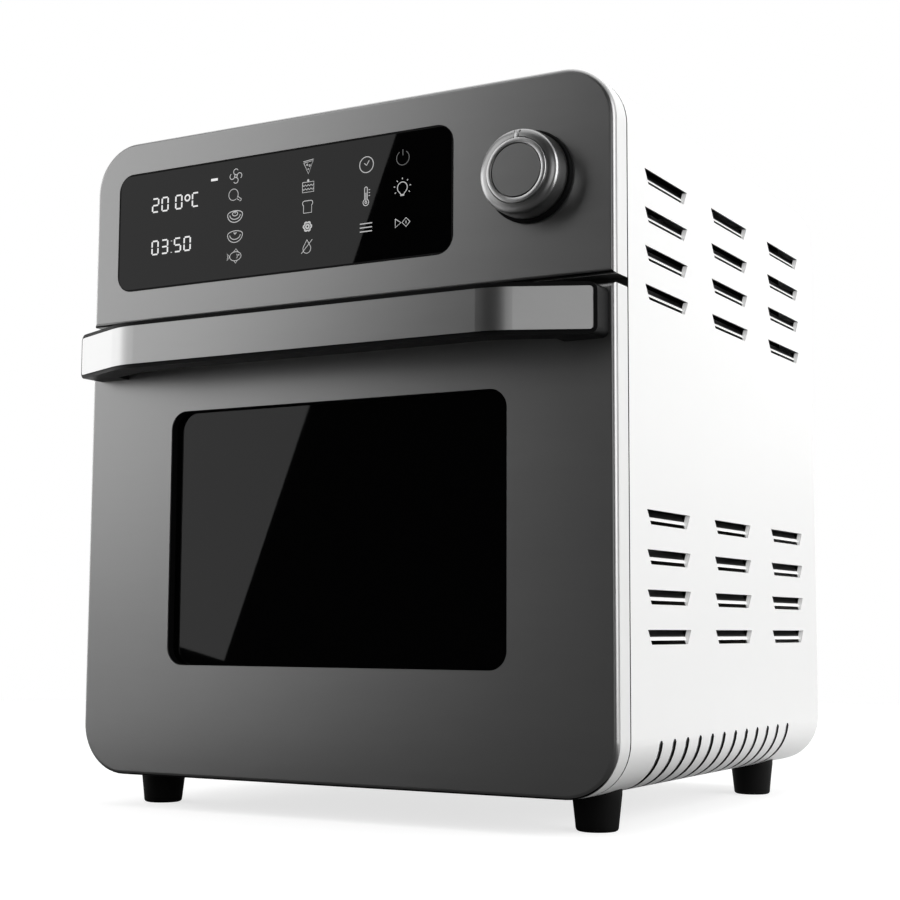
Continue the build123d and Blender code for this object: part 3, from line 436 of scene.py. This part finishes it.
def enamelled(name, base):
    """Dark vitreous coat with pale specks."""
    enamel = Finish(name, Specular_IOR_Level=0.5)
    speck = enamel.noise(1500, 1) > 0.72
    enamel.set("Base Color", enamel.mix(speck, base, (0.3, 0.3, 0.3)))
    enamel.set("Roughness", enamel.between(enamel.noise(90), 0.2, 0.34))
    enamel.bump(enamel.noise(400, 2), 0.2, 0.00005)
    return enamel.material


def fibrous(name, base):
    """Felted mineral wool."""
    wool = Finish(name, Specular_IOR_Level=0.1)
    fibre = wool.noise(260, 6, 0.7)
    shaded(wool, base, 0.3, fibre)
    wool.set("Roughness", wool.between(fibre, 0.85, 1.0))
    wool.bump(fibre, 0.9, 0.0008)
    return wool.material


def circuit(name):
    """Green board with paler tracks."""
    board = Finish(name, Specular_IOR_Level=0.4)
    x, y, z = board.axes()
    track = ((x * 700).math("SINE") * (z * 900).math("SINE")) > 0.35
    board.set("Base Color", board.mix(track, (0.02, 0.13, 0.05), (0.05, 0.24, 0.1)))
    board.set("Roughness", board.between(board.noise(80), 0.35, 0.55))
    return board.material


WHITE = (0.86, 0.86, 0.855)
FINISHES = {
    "shell_paint": painted("shell_paint", WHITE, 0.36),
    "frame_paint": painted("frame_paint", (0.008, 0.008, 0.008), 0.5),
    # The moulding's black is painted shade in the seam and underneath above the door
    "white_moulding": banded("white_moulding", (0.8, 0.8, 0.795), (0.01, 0.01, 0.01), 0.42),
    # The near black of the two steels is painted shade on their undersides
    "dark_steel": plate_steel("dark_steel", (0.33, 0.33, 0.33), (0.004, 0.004, 0.004), 0.33),
    "handle_steel": plate_steel("handle_steel", (0.37, 0.37, 0.37), (0.004, 0.004, 0.004), 0.31),
    "inner_steel": brushed("inner_steel", (0.5, 0.5, 0.49), 0.38, along=(500, 500, 12)),
    "black_plastic": moulded("black_plastic", (0.004, 0.004, 0.0042), 0.48, gloss=0.07),
    "display_glass": black_panel("display_glass", (0.0008, 0.0008, 0.0009), 0.0),
    "window_glass": tinted_glass(
        "window_glass", (0.18, 0.18, 0.19), (0.24, 0.24, 0.25), (0.0006, 0.0006, 0.0007)
    ),
    "knob_metal": turned("knob_metal", (0.36, 0.36, 0.36), 0.3, knob_centre),
    "bright_metal": turned("bright_metal", (0.62, 0.62, 0.62), 0.32, knob_centre),
    "rubber": moulded("rubber", (0.005, 0.005, 0.005), 0.6, grain=0.8, scale=1500, gloss=0.08),
    "silicone": moulded("silicone", (0.02, 0.02, 0.021), 0.55, grain=0.4),
    "heater_sheath": heated("heater_sheath"),
    "rack_wire": brushed("rack_wire", (0.72, 0.72, 0.72), 0.16, along=(60, 60, 60)),
    "tray_enamel": enamelled("tray_enamel", (0.014, 0.014, 0.016)),
    "screw_steel": brushed("screw_steel", (0.5, 0.5, 0.5), 0.32, along=(400, 400, 400)),
    "ceramic": moulded("ceramic", (0.72, 0.69, 0.62), 0.7, grain=0.7, scale=900),
    "circuit_board": circuit("circuit_board"),
    "motor_metal": brushed("motor_metal", (0.55, 0.55, 0.55), 0.34, along=(40, 40, 700)),
    "wool": fibrous("wool", (0.05, 0.046, 0.042)),
    "lamp_glass": clear_glass("lamp_glass", (0.9, 0.9, 0.87)),
}
# The near-black colour is painted shade, and dark primer on the inner side
WRAP = wrap_paint_and_shade("wrap_paint_and_shade", WHITE, (0.005, 0.005, 0.005), 0.36)


def dress_nodes():
    """Every CAD node gets the finish of its slot, and the wrap its white coat with painted shade and
    glowing louvre blades.
    """
    for part in frame["record"]["subparts"]:
        data = frame["nodes"][part["node"]].data
        data.materials.clear()
        data.materials.append(WRAP if part["node"] == "body_shell" else FINISHES[part["material_slot"]])


# Knob: turned body with a sloping rim, a bright ring round the face and a bar for a pointer.
# Millimetres: heights are above the panel, RIM_START and RIM_DROP are how far below the top
# the rim begins and ends, and BED is the floor that the face stands on
KNOB_LOW = 2.7
KNOB_TOP = 16.35
RING_OUTER = 16.5
RING_INNER = 13.9
RIM_RADIUS = 20.4
RIM_START = 1.0
RIM_DROP = 2.0
RIM_INSIDE = KNOB_TOP - RIM_START
RIM_OUTSIDE = KNOB_TOP - RIM_DROP
BED = RIM_INSIDE - 0.5

# Angle in radians past which an edge of a new piece stays sharp
CREASE = 0.5


def new_piece(name, shape, material, body):
    """Makes an object of a bmesh, smooth but for its creases."""
    bmesh.ops.recalc_face_normals(shape, faces=shape.faces)
    for face in shape.faces:
        face.smooth = True
    mesh = bpy.data.meshes.new(name)
    shape.to_mesh(mesh)
    shape.free()
    mesh.set_sharp_from_angle(angle=CREASE)
    mesh.materials.append(material)
    piece = bpy.data.objects.new(name, mesh)
    bpy.context.scene.collection.objects.link(piece)
    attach(piece, body)
    return piece


def knob_turning(name, outline, slot):
    """A piece of the knob, turned from its outline: radius and height above the panel."""
    shape = bmesh.new()
    points = [shape.verts.new((radius * MM, -height * MM, 0)) for radius, height in outline]
    lines = [shape.edges.new(pair) for pair in zip(points, points[1:])]
    bmesh.ops.spin(
        shape, geom=points + lines, cent=(0, 0, 0), axis=(0, 1, 0), angle=tau, steps=120, use_merge=True
    )
    bmesh.ops.remove_doubles(shape, verts=shape.verts, dist=0.000001)
    bmesh.ops.translate(shape, verts=shape.verts, vec=(knob_centre.x, place(0, 0, 0).y, knob_centre.z))
    return new_piece(name, shape, FINISHES[slot], "knob")


def rim_bar(name, width, proud, slot):
    """A bar that lies on the knob's sloping rim at the top."""
    shape = bmesh.new()
    bmesh.ops.create_cube(shape, size=1)
    length = RIM_RADIUS - RING_OUTER + 0.3
    slope = (RIM_INSIDE - RIM_OUTSIDE) / length
    bmesh.ops.scale(shape, vec=(width * MM, 1.0 * MM, length * MM), verts=shape.verts)
    bmesh.ops.bevel(
        shape, geom=shape.edges, offset=0.12 * MM, segments=2, profile=0.5, affect="EDGES", material=-1
    )
    for point in shape.verts:
        point.co.y += (point.co.z + length / 2 * MM) * slope
    middle = knob_centre.z + (RING_OUTER + length / 2) * MM
    depth = place(0, -BED - proud, 0).y
    bmesh.ops.translate(shape, verts=shape.verts, vec=(knob_centre.x, depth, middle))
    new_piece(name, shape, FINISHES[slot], "knob")


def add_knob():
    body = knob_turning(
        "knob_turned_body",
        [
            (0, KNOB_LOW),
            (21.9, KNOB_LOW),
            (22.1, KNOB_LOW + 0.2),
            (21.8, RIM_OUTSIDE - 2.4),
            (21.6, RIM_OUTSIDE - 1.4),
            (21.3, RIM_OUTSIDE - 0.75),
            (20.9, RIM_OUTSIDE - 0.3),
            (RIM_RADIUS, RIM_OUTSIDE),
            (19.6, RIM_INSIDE - 0.6),
            (18.5, RIM_INSIDE - 0.2),
            (RING_OUTER + 0.6, RIM_INSIDE),
            (RING_OUTER + 0.3, BED),
            (RING_OUTER - 0.1, BED),
            (0, BED),
        ],
        "knob_metal",
    )
    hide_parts("knob_body")
    ring = knob_turning(
        "knob_face_ring",
        [
            (RING_OUTER, BED - 0.1),
            (RING_OUTER, KNOB_TOP - 0.3),
            (RING_OUTER - 0.1, KNOB_TOP - 0.1),
            (RING_OUTER - 0.3, KNOB_TOP),
            (RING_INNER + 0.3, KNOB_TOP),
            (RING_INNER + 0.1, KNOB_TOP - 0.1),
            (RING_INNER, KNOB_TOP - 0.3),
            (RING_INNER, BED - 0.1),
        ],
        "bright_metal",
    )
    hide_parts("knob_insert")
    knob_turning(
        "knob_face_disc",
        [
            (RING_INNER - 0.5, BED - 0.1),
            (RING_INNER - 0.5, KNOB_TOP - 0.2),
            (RING_INNER - 0.65, KNOB_TOP - 0.05),
            (0, KNOB_TOP - 0.05),
        ],
        "dark_steel",
    )
    rim_bar("pointer_bed", 3.5, 0.15, "black_plastic")
    rim_bar("pointer_bar", 2.5, 0.35, "bright_metal")


# Black sheet inside the upper rear vents, so that no light falls straight through to the louvres
SHIELD_MIDDLE = (0, 307, 290)
SHIELD_SIZE = (290, 0.5, 96)


def add_vent_shield():
    """A plain sheet that hangs inside the rear cover."""
    shape = bmesh.new()
    bmesh.ops.create_cube(shape, size=1)
    bmesh.ops.scale(shape, vec=Vector(SHIELD_SIZE) * MM, verts=shape.verts)
    bmesh.ops.translate(shape, vec=place(*SHIELD_MIDDLE), verts=shape.verts)
    new_piece("vent_shield", shape, FINISHES["frame_paint"], "casing")


# Lit figures and pictograms on the display, all in millimetres


def lit(name, strength):
    """White light from behind the panel, a little uneven."""
    glow = Finish(name, Roughness=0.5)
    glow.set("Base Color", (0, 0, 0))
    level = glow.between(glow.noise(400), 0.85, 1.0)
    glow.set("Emission Color", glow.mix(level, (0, 0, 0), (1, 1, 1)))
    glow.set("Emission Strength", strength)
    return glow.material


def arc(x, z, radius, start=0, turn=360, steps=20, squeeze=1.0):
    """Points round a circle or part of one; squeeze makes it an ellipse."""
    angles = [radians(start + turn * i / steps) for i in range(steps + 1)]
    return [(x + radius * squeeze * cos(a), z + radius * sin(a)) for a in angles]


# How thick a flattened stroke is for its width, and how much of that stands out of the glass
STROKE_DEPTH = 0.1
STROKE_OUT = 0.6


def drawing(name, strokes, width, centre, material, size=1.0):
    """Rounded strokes, given in millimetres about a centre on the display, as one flat piece."""
    curve = bpy.data.curves.new(name, "CURVE")
    curve.dimensions = "3D"
    curve.bevel_depth = width / 2 * MM
    curve.bevel_resolution = 1
    curve.use_fill_caps = True
    for stroke in strokes:
        spline = curve.splines.new("POLY")
        spline.points.add(len(stroke) - 1)
        for point, (x, z) in zip(spline.points, stroke):
            point.co = (x * size * MM, 0, z * size * MM, 1)
    maker = bpy.data.objects.new(name + "_maker", curve)
    mesh = bpy.data.meshes.new_from_object(maker)
    bpy.data.objects.remove(maker)
    bpy.data.curves.remove(curve)
    flatten = Matrix.Diagonal((1, STROKE_DEPTH, 1, 1))
    spot = place(centre[0], 0, centre[1]) - Vector((0, width / 2 * STROKE_DEPTH * MM * STROKE_OUT, 0))
    mesh.transform(Matrix.Translation(spot) @ flatten)
    mesh.name = name
    mesh.materials.append(material)
    piece = bpy.data.objects.new(name, mesh)
    bpy.context.scene.collection.objects.link(piece)
    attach(piece, "casing")


# Lit segments of the figures 0 to 9: a is the top one, b upper right, c lower right, d foot,
# e lower left, f upper left, g middle
SEGMENTS = ("abcdef", "bc", "abged", "abgcd", "fgbc", "afgcd", "afgedc", "abc", "abcdefg", "abfgcd")
FIGURE_WIDTH = 4.3
FIGURE_HEIGHT = 7.7
FIGURE_STROKE = 1.0
FIGURE_GAP = 0.4
PITCH = 6.9


def figure(digit, x):
    """Strokes of one seven-segment figure whose left edge is at x."""
    right, top, gap = x + FIGURE_WIDTH, FIGURE_HEIGHT / 2, FIGURE_GAP
    ends = {
        "a": [(x + gap, top), (right - gap, top)],
        "b": [(right, top - gap), (right, gap)],
        "c": [(right, -gap), (right, gap - top)],
        "d": [(x + gap, -top), (right - gap, -top)],
        "e": [(x, -gap), (x, gap - top)],
        "f": [(x, top - gap), (x, gap)],
        "g": [(x + gap, 0), (right - gap, 0)],
    }
    return [ends[s] for s in SEGMENTS[digit]]


def add_figures(material):
    """A temperature and, under it, a time."""
    temperature = []
    for digit, x in ((2, 0), (0, PITCH), (0, 2 * PITCH + 3)):
        temperature += figure(digit, x)
    degree_x = 3 * PITCH + 4.4
    temperature.append(arc(degree_x, FIGURE_HEIGHT / 2 - 2.2, 1.7, steps=14))
    letter_x = degree_x + 3.6
    temperature += [stroke for stroke, s in zip(figure(8, letter_x), "abcdefg") if s in "adef"]
    drawing("temperature_figures", temperature, FIGURE_STROKE, (-123.5, 322.3), material)
    time = []
    for digit, x in ((0, 0), (3, PITCH), (5, 2 * PITCH + 2.4), (0, 3 * PITCH + 2.4)):
        time += figure(digit, x)
    colon_x = 2 * PITCH + 0.2
    time += [[(colon_x, z), (colon_x, z + 0.3)] for z in (2.6, -4.0)]
    drawing("time_figures", time, FIGURE_STROKE, (-123.2, 297.5), material)
    drawing("programme_light", [[(-2.3, 0), (2.3, 0)]], 1.6, (-79.5, 332.0), material)


def fan_icon():
    """Four curved blades in a ring."""
    strokes = [arc(0, 0, 0.9, steps=12)]
    for quarter in range(4):
        turn = quarter * pi / 2
        strokes.append(arc(2.6 * cos(turn), 2.6 * sin(turn), 1.7, quarter * 90 - 60, 240, 12))
    return strokes


def drumstick_icon():
    return [
        arc(-1.2, 1.0, 3.4, -38, 342, 22),
        [(1.2, -1.6), (2.9, -2.6)],
        [(2.1, -0.3), (3.6, -1.6)],
        arc(3.7, -2.4, 0.8, -130, 230, 8),
    ]


def bowl_icon(steam):
    strokes = [
        arc(0, 0.8, 4.7, 180, 180, 16, 1.15) + arc(0, 0.8, 4.7, 0, 180, 16, 1.15)[:1],
        [(-5.4, 0.8)] + arc(0, 0.8, 2.2, 180, -180, 14, 2.45),
        arc(0, 0.6, 2.7, 180, 180, 12, 1.4),
    ]
    if steam:
        strokes += [arc(0, 1.2, 1.3, 0, 360, 10, 1.5), [(0, 1.4), (0, 2.6)]]
    else:
        strokes.append([(0, 0.9), (-1.2, 2.0), (0, 1.6), (1.2, 2.0), (0, 0.9)])
    return strokes


def fish_icon():
    upper = [(4.6 * cos(a), 3.0 * sin(a)) for a in (pi * i / 10 for i in range(11))]
    return [
        upper,
        [(x, -z) for x, z in upper],
        [(-4.6, 0), (-6.8, 2.4), (-6.1, 0), (-6.8, -2.4), (-4.6, 0)],
        [(2.2, 2.7), (0.4, 4.9), (-1.6, 2.9)],
        [(1.6, -2.8), (0.2, -4.6), (-1.2, -2.9)],
        arc(2.8, 0.7, 0.35, steps=6),
        arc(-0.6, 0, 2.2, -40, 80, 6),
    ]


def slice_icon():
    return [
        [(-3.5, 2.6), (3.6, 3.4), (0, -4.8), (-3.5, 2.6)],
        [(-3.9, 3.5), (3.9, 4.3)],
        arc(-0.9, 1.2, 0.55, steps=6),
        arc(1.0, 0.5, 0.55, steps=6),
        arc(-0.1, -1.7, 0.35, steps=6),
    ]


def cake_icon():
    wave = [(-4.2 + 8.4 * i / 16, 0.5 + 0.5 * cos(i * pi / 2)) for i in range(17)]
    return [
        [(-4.2, 2.6), (4.2, 2.6), (4.2, -3.8), (-4.2, -3.8), (-4.2, 2.6)],
        wave,
        [(x, z - 2.4) for x, z in wave],
        arc(0, 3.5, 0.6, steps=10),
        arc(0, 3.5, 0.2, steps=6),
    ]


def loaf_icon():
    return [
        [(-3.0, 0.6), (-3.0, -4.2), (3.0, -4.2), (3.0, 0.6)]
        + arc(2.3, 1.9, 1.5, -60, 150, 8)
        + arc(-2.3, 1.9, 1.5, 90, 150, 8)
    ]


def flower_icon():
    strokes = [arc(0, 0, 1.3, steps=12)]
    for petal in range(6):
        turn = petal * pi / 3
        strokes.append(arc(2.3 * cos(turn), 2.3 * sin(turn), 1.0, petal * 60 - 100, 200, 8))
    return strokes


def drop_icon():
    return [
        [(0, 4.6)] + arc(0, -1.4, 3.1, 28, -236, 18) + [(0, 4.6)],
        [(-4.4, -4.4), (4.2, 4.4)],
    ]


def clock_icon():
    return [arc(0, 0, 4.9, steps=28), [(-1.6, 1.0), (0, -0.4), (1.9, 2.4)]]


def thermometer_icon():
    return [
        arc(0, -4.0, 2.0, 62, -304, 18)
        + [(-0.95, 4.6)]
        + arc(0, 4.6, 0.95, 180, -180, 8)
        + [(0.95, -2.2)],
        arc(0, -4.0, 0.7, steps=8),
        [(0, -3.4), (0, 2.0)],
        [(1.9, 3.6), (2.9, 3.6)],
        [(1.9, 1.8), (2.9, 1.8)],
        [(1.9, 0.0), (2.9, 0.0)],
    ]


def lines_icon():
    return [[(-4.1, z), (4.1, z)] for z in (2.3, 0, -2.3)]


def power_icon():
    return [arc(0, 0, 4.5, 122, 296, 24), [(0, 1.6), (0, 5.2)]]


def bulb_icon():
    base = [(-1.1, -3.4), (-1.1, -4.4), (1.1, -4.4), (1.1, -3.4)]
    strokes = [
        arc(0, 0.6, 3.5, -52, 284, 22) + base + arc(0, 0.6, 3.5, -52, 4, 1),
        [(-1.1, -3.8), (1.1, -3.8)],
    ]
    for ray in range(7):
        turn = radians(-30 + 40 * ray)
        strokes.append([(reach * cos(turn), 0.6 + reach * sin(turn)) for reach in (5.2, 6.2)])
    return strokes


def start_icon():
    return [
        [(-5.2, 2.9), (-5.2, -2.9), (-0.9, 0), (-5.2, 2.9)],
        arc(3.0, 0, 3.0, steps=4),
        [(3.0, -0.9), (3.0, 0.9)],
    ]


# Each pictogram with its middle on the panel, its size and its line width
ICONS = {
    "fan": (fan_icon(), (-64.6, 332.2), 0.95, 0.5),
    "drumstick": (drumstick_icon(), (-64.9, 320.8), 0.95, 0.42),
    "bowl": (bowl_icon(True), (-64.7, 309.6), 0.95, 0.55),
    "deep_bowl": (bowl_icon(False), (-64.5, 298.2), 0.95, 0.48),
    "fish": (fish_icon(), (-64.0, 286.6), 0.85, 0.42),
    "slice": (slice_icon(), (-15.8, 331.2), 0.86, 0.42),
    "cake": (cake_icon(), (-15.8, 320.3), 0.88, 0.42),
    "loaf": (loaf_icon(), (-16.0, 309.2), 0.88, 0.42),
    "flower": (flower_icon(), (-15.9, 297.9), 0.8, 1.05),
    "drop": (drop_icon(), (-16.1, 286.9), 0.82, 0.4),
    "clock": (clock_icon(), (21.6, 327.2), 0.88, 0.52),
    "thermometer": (thermometer_icon(), (21.4, 310.2), 0.88, 0.5),
    "lines": (lines_icon(), (21.6, 293.1), 0.93, 0.62),
    "power": (power_icon(), (44.2, 327.9), 0.86, 0.42),
    "bulb": (bulb_icon(), (44.0, 311.4), 0.86, 0.52),
    "start": (start_icon(), (44.0, 293.2), 0.8, 0.46),
}


def add_display_print():
    figures = lit("lit_figures", 0.9)
    keys = lit("lit_keys", 0.55)
    faint = lit("faint_key", 0.12)
    add_figures(figures)
    for name, (strokes, centre, size, width) in ICONS.items():
        shade = faint if name == "power" else keys
        drawing(name + "_icon", strokes, width, centre, shade, size)


# Studio. Box sizes and distances are in metres.

# Left-hand soft box: where its near edge shows at the top of the display and at the foot of the
# window, how far from there it stands, its size, how far it is pushed up and how bright it is
BOX_EDGE_TOP = (39.4, 0, 340.1)
BOX_EDGE_FOOT = (-72.2, 5.5, 60.3)
BOX_DISTANCE = 1.6
BOX_WIDTH = 1.3
BOX_HEIGHT = 1.6
BOX_RAISE = 0.4
BOX_GLOW = 1.23

# The other soft boxes: name, middle, the place it faces, width, height and how bright it is
MIDDLE = (0, 150, 180)
BOXES = (
    ("side_box", (1500, 300, 560), MIDDLE, 1.6, 1.6, 2.62),
    ("top_box", (-100, 100, 1700), MIDDLE, 1.8, 1.8, 1.0),
    ("left_box", (-1700, -80, 500), (0, -20, 240), 1.5, 0.9, 1.95),
    ("front_box", (800, -1500, 480), (150, -20, 240), 0.7, 0.9, 1.05),
    ("back_box", (200, 1900, 900), MIDDLE, 1.6, 1.2, 0.7),
)


def soft_box(name, centre, across, up, width, height, glow):
    """A rectangular lamp of even brightness: glow is what a white card in its place would show."""
    data = bpy.data.lights.new(name, "AREA")
    data.shape = "RECTANGLE"
    data.size = width
    data.size_y = height
    data.energy = glow * pi * width * height
    lamp = bpy.data.objects.new(name, data)
    back = across.cross(up)
    lamp.matrix_world = Matrix.Translation(centre) @ Matrix((across, up, back)).transposed().to_4x4()
    bpy.context.scene.collection.objects.link(lamp)


def facing_box(name, centre, target, width, height, glow):
    """A soft box at centre that faces the target, with its long edge level."""
    back = (centre - target).normalized()
    across = Vector((0, 0, 1)).cross(back).normalized()
    soft_box(name, centre, across, back.cross(across), width, height, glow)


def add_key_light():
    """The left-hand soft box. Its near edge shows in the display and the window as a slanting line."""
    eye = place(*CAMERA_AT)
    ends = []
    for shown_at in (BOX_EDGE_TOP, BOX_EDGE_FOOT):
        spot = place(*shown_at)
        ray = (spot - eye).normalized()
        ends.append(spot + BOX_DISTANCE * Vector((ray.x, -ray.y, ray.z)))
    middle = (ends[0] + ends[1]) / 2
    edge = (ends[0] - ends[1]).normalized()
    towards = (place(0, 0, 180) - middle).normalized()
    away = edge.cross(towards).normalized()
    centre = middle + away * BOX_WIDTH / 2 + edge * BOX_RAISE
    soft_box("key_box", centre, -away, edge, BOX_WIDTH, BOX_HEIGHT, BOX_GLOW)


FLOOR_RADIUS = 1.4
FLOOR_GLOW = 0.72

# The floor as reflections see it, per metre: how fast it lights up behind the front, and from how far
# left of the middle and how fast it darkens to the right in front of it
BEHIND_RISE = 4
AHEAD_FROM = 0.6
AHEAD_RISE = 2.4


def pale_floor():
    """Pale floor that lightens to white for the eye and keeps the shadow."""
    paint = Finish("pale_floor", Roughness=0.9, Specular_IOR_Level=0.0)
    path = paint.tree.nodes.new("ShaderNodeLightPath")
    eye = Signal(paint.tree, path.outputs["Is Camera Ray"])
    through = Signal(paint.tree, path.outputs["Is Transmission Ray"])
    gloss = Signal(paint.tree, path.outputs["Is Glossy Ray"])
    x, y, z = paint.axes()
    behind = (y * BEHIND_RISE).held()
    pale = paint.mix(paint.noise(3), (0.46, 0.46, 0.46), (0.48, 0.48, 0.48))
    ahead = ((x + AHEAD_FROM) * AHEAD_RISE).held() * (1 - behind)
    reflected = paint.mix(ahead, (0.9, 0.9, 0.9), (0.08, 0.08, 0.08))
    bounce = paint.mix(gloss, (0.34, 0.34, 0.34), reflected)
    paint.set("Base Color", paint.mix(eye.either(through), bounce, pale))
    shown = eye.either(through).either(gloss * behind)
    paint.set("Emission Color", paint.mix(shown, (0, 0, 0), (1, 1, 1)))
    paint.set("Emission Strength", FLOOR_GLOW)
    return paint.material


# The room as reflections see it, darkest in front, and its even light on everything
AMBIENT = 0.3
DARK_SIDE = 0.015
ROOM_RISE = 1.6


def studio_world():
    """White round the object for the eye; a darker room in front of it for reflections."""
    world = bpy.data.worlds.new("studio")
    bpy.context.scene.world = world
    world.use_nodes = True
    nodes = Nodes(world.node_tree)
    background = world.node_tree.nodes["Background"]
    path = world.node_tree.nodes.new("ShaderNodeLightPath")
    eye = Signal(nodes.tree, path.outputs["Is Camera Ray"])
    through = Signal(nodes.tree, path.outputs["Is Transmission Ray"])
    gloss = Signal(nodes.tree, path.outputs["Is Glossy Ray"])
    direction = nodes.node("TexCoord", output=0)
    split = nodes.tree.nodes.new("ShaderNodeSeparateXYZ")
    nodes.tree.links.new(direction.socket, split.inputs[0])
    depth = Signal(nodes.tree, split.outputs[1])
    behind = (depth * ROOM_RISE + 0.5).held()
    room = behind * (1 - DARK_SIDE) + DARK_SIDE
    straight = eye.either(through)
    indirect = gloss * room + (1 - gloss) * AMBIENT
    level = straight + (1 - straight) * indirect
    feed(nodes.tree, background.inputs["Color"], (1, 1, 1))
    feed(nodes.tree, background.inputs["Strength"], level)


def add_studio():
    add_key_light()
    for name, centre, target, width, height, glow in BOXES:
        facing_box(name, place(*centre), place(*target), width, height, glow)
    floor = bpy.data.meshes.new("floor")
    shape = bmesh.new()
    bmesh.ops.create_circle(shape, cap_ends=True, segments=96, radius=FLOOR_RADIUS)
    shape.to_mesh(floor)
    shape.free()
    ground = bpy.data.objects.new("floor", floor)
    bpy.context.scene.collection.objects.link(ground)
    floor.materials.append(pale_floor())
    studio_world()


bpy.context.scene.view_settings.view_transform = "Standard"
add_camera()
dress_nodes()
add_knob()
add_vent_shield()
add_display_print()
add_studio()

bpy.context.view_layer.update()
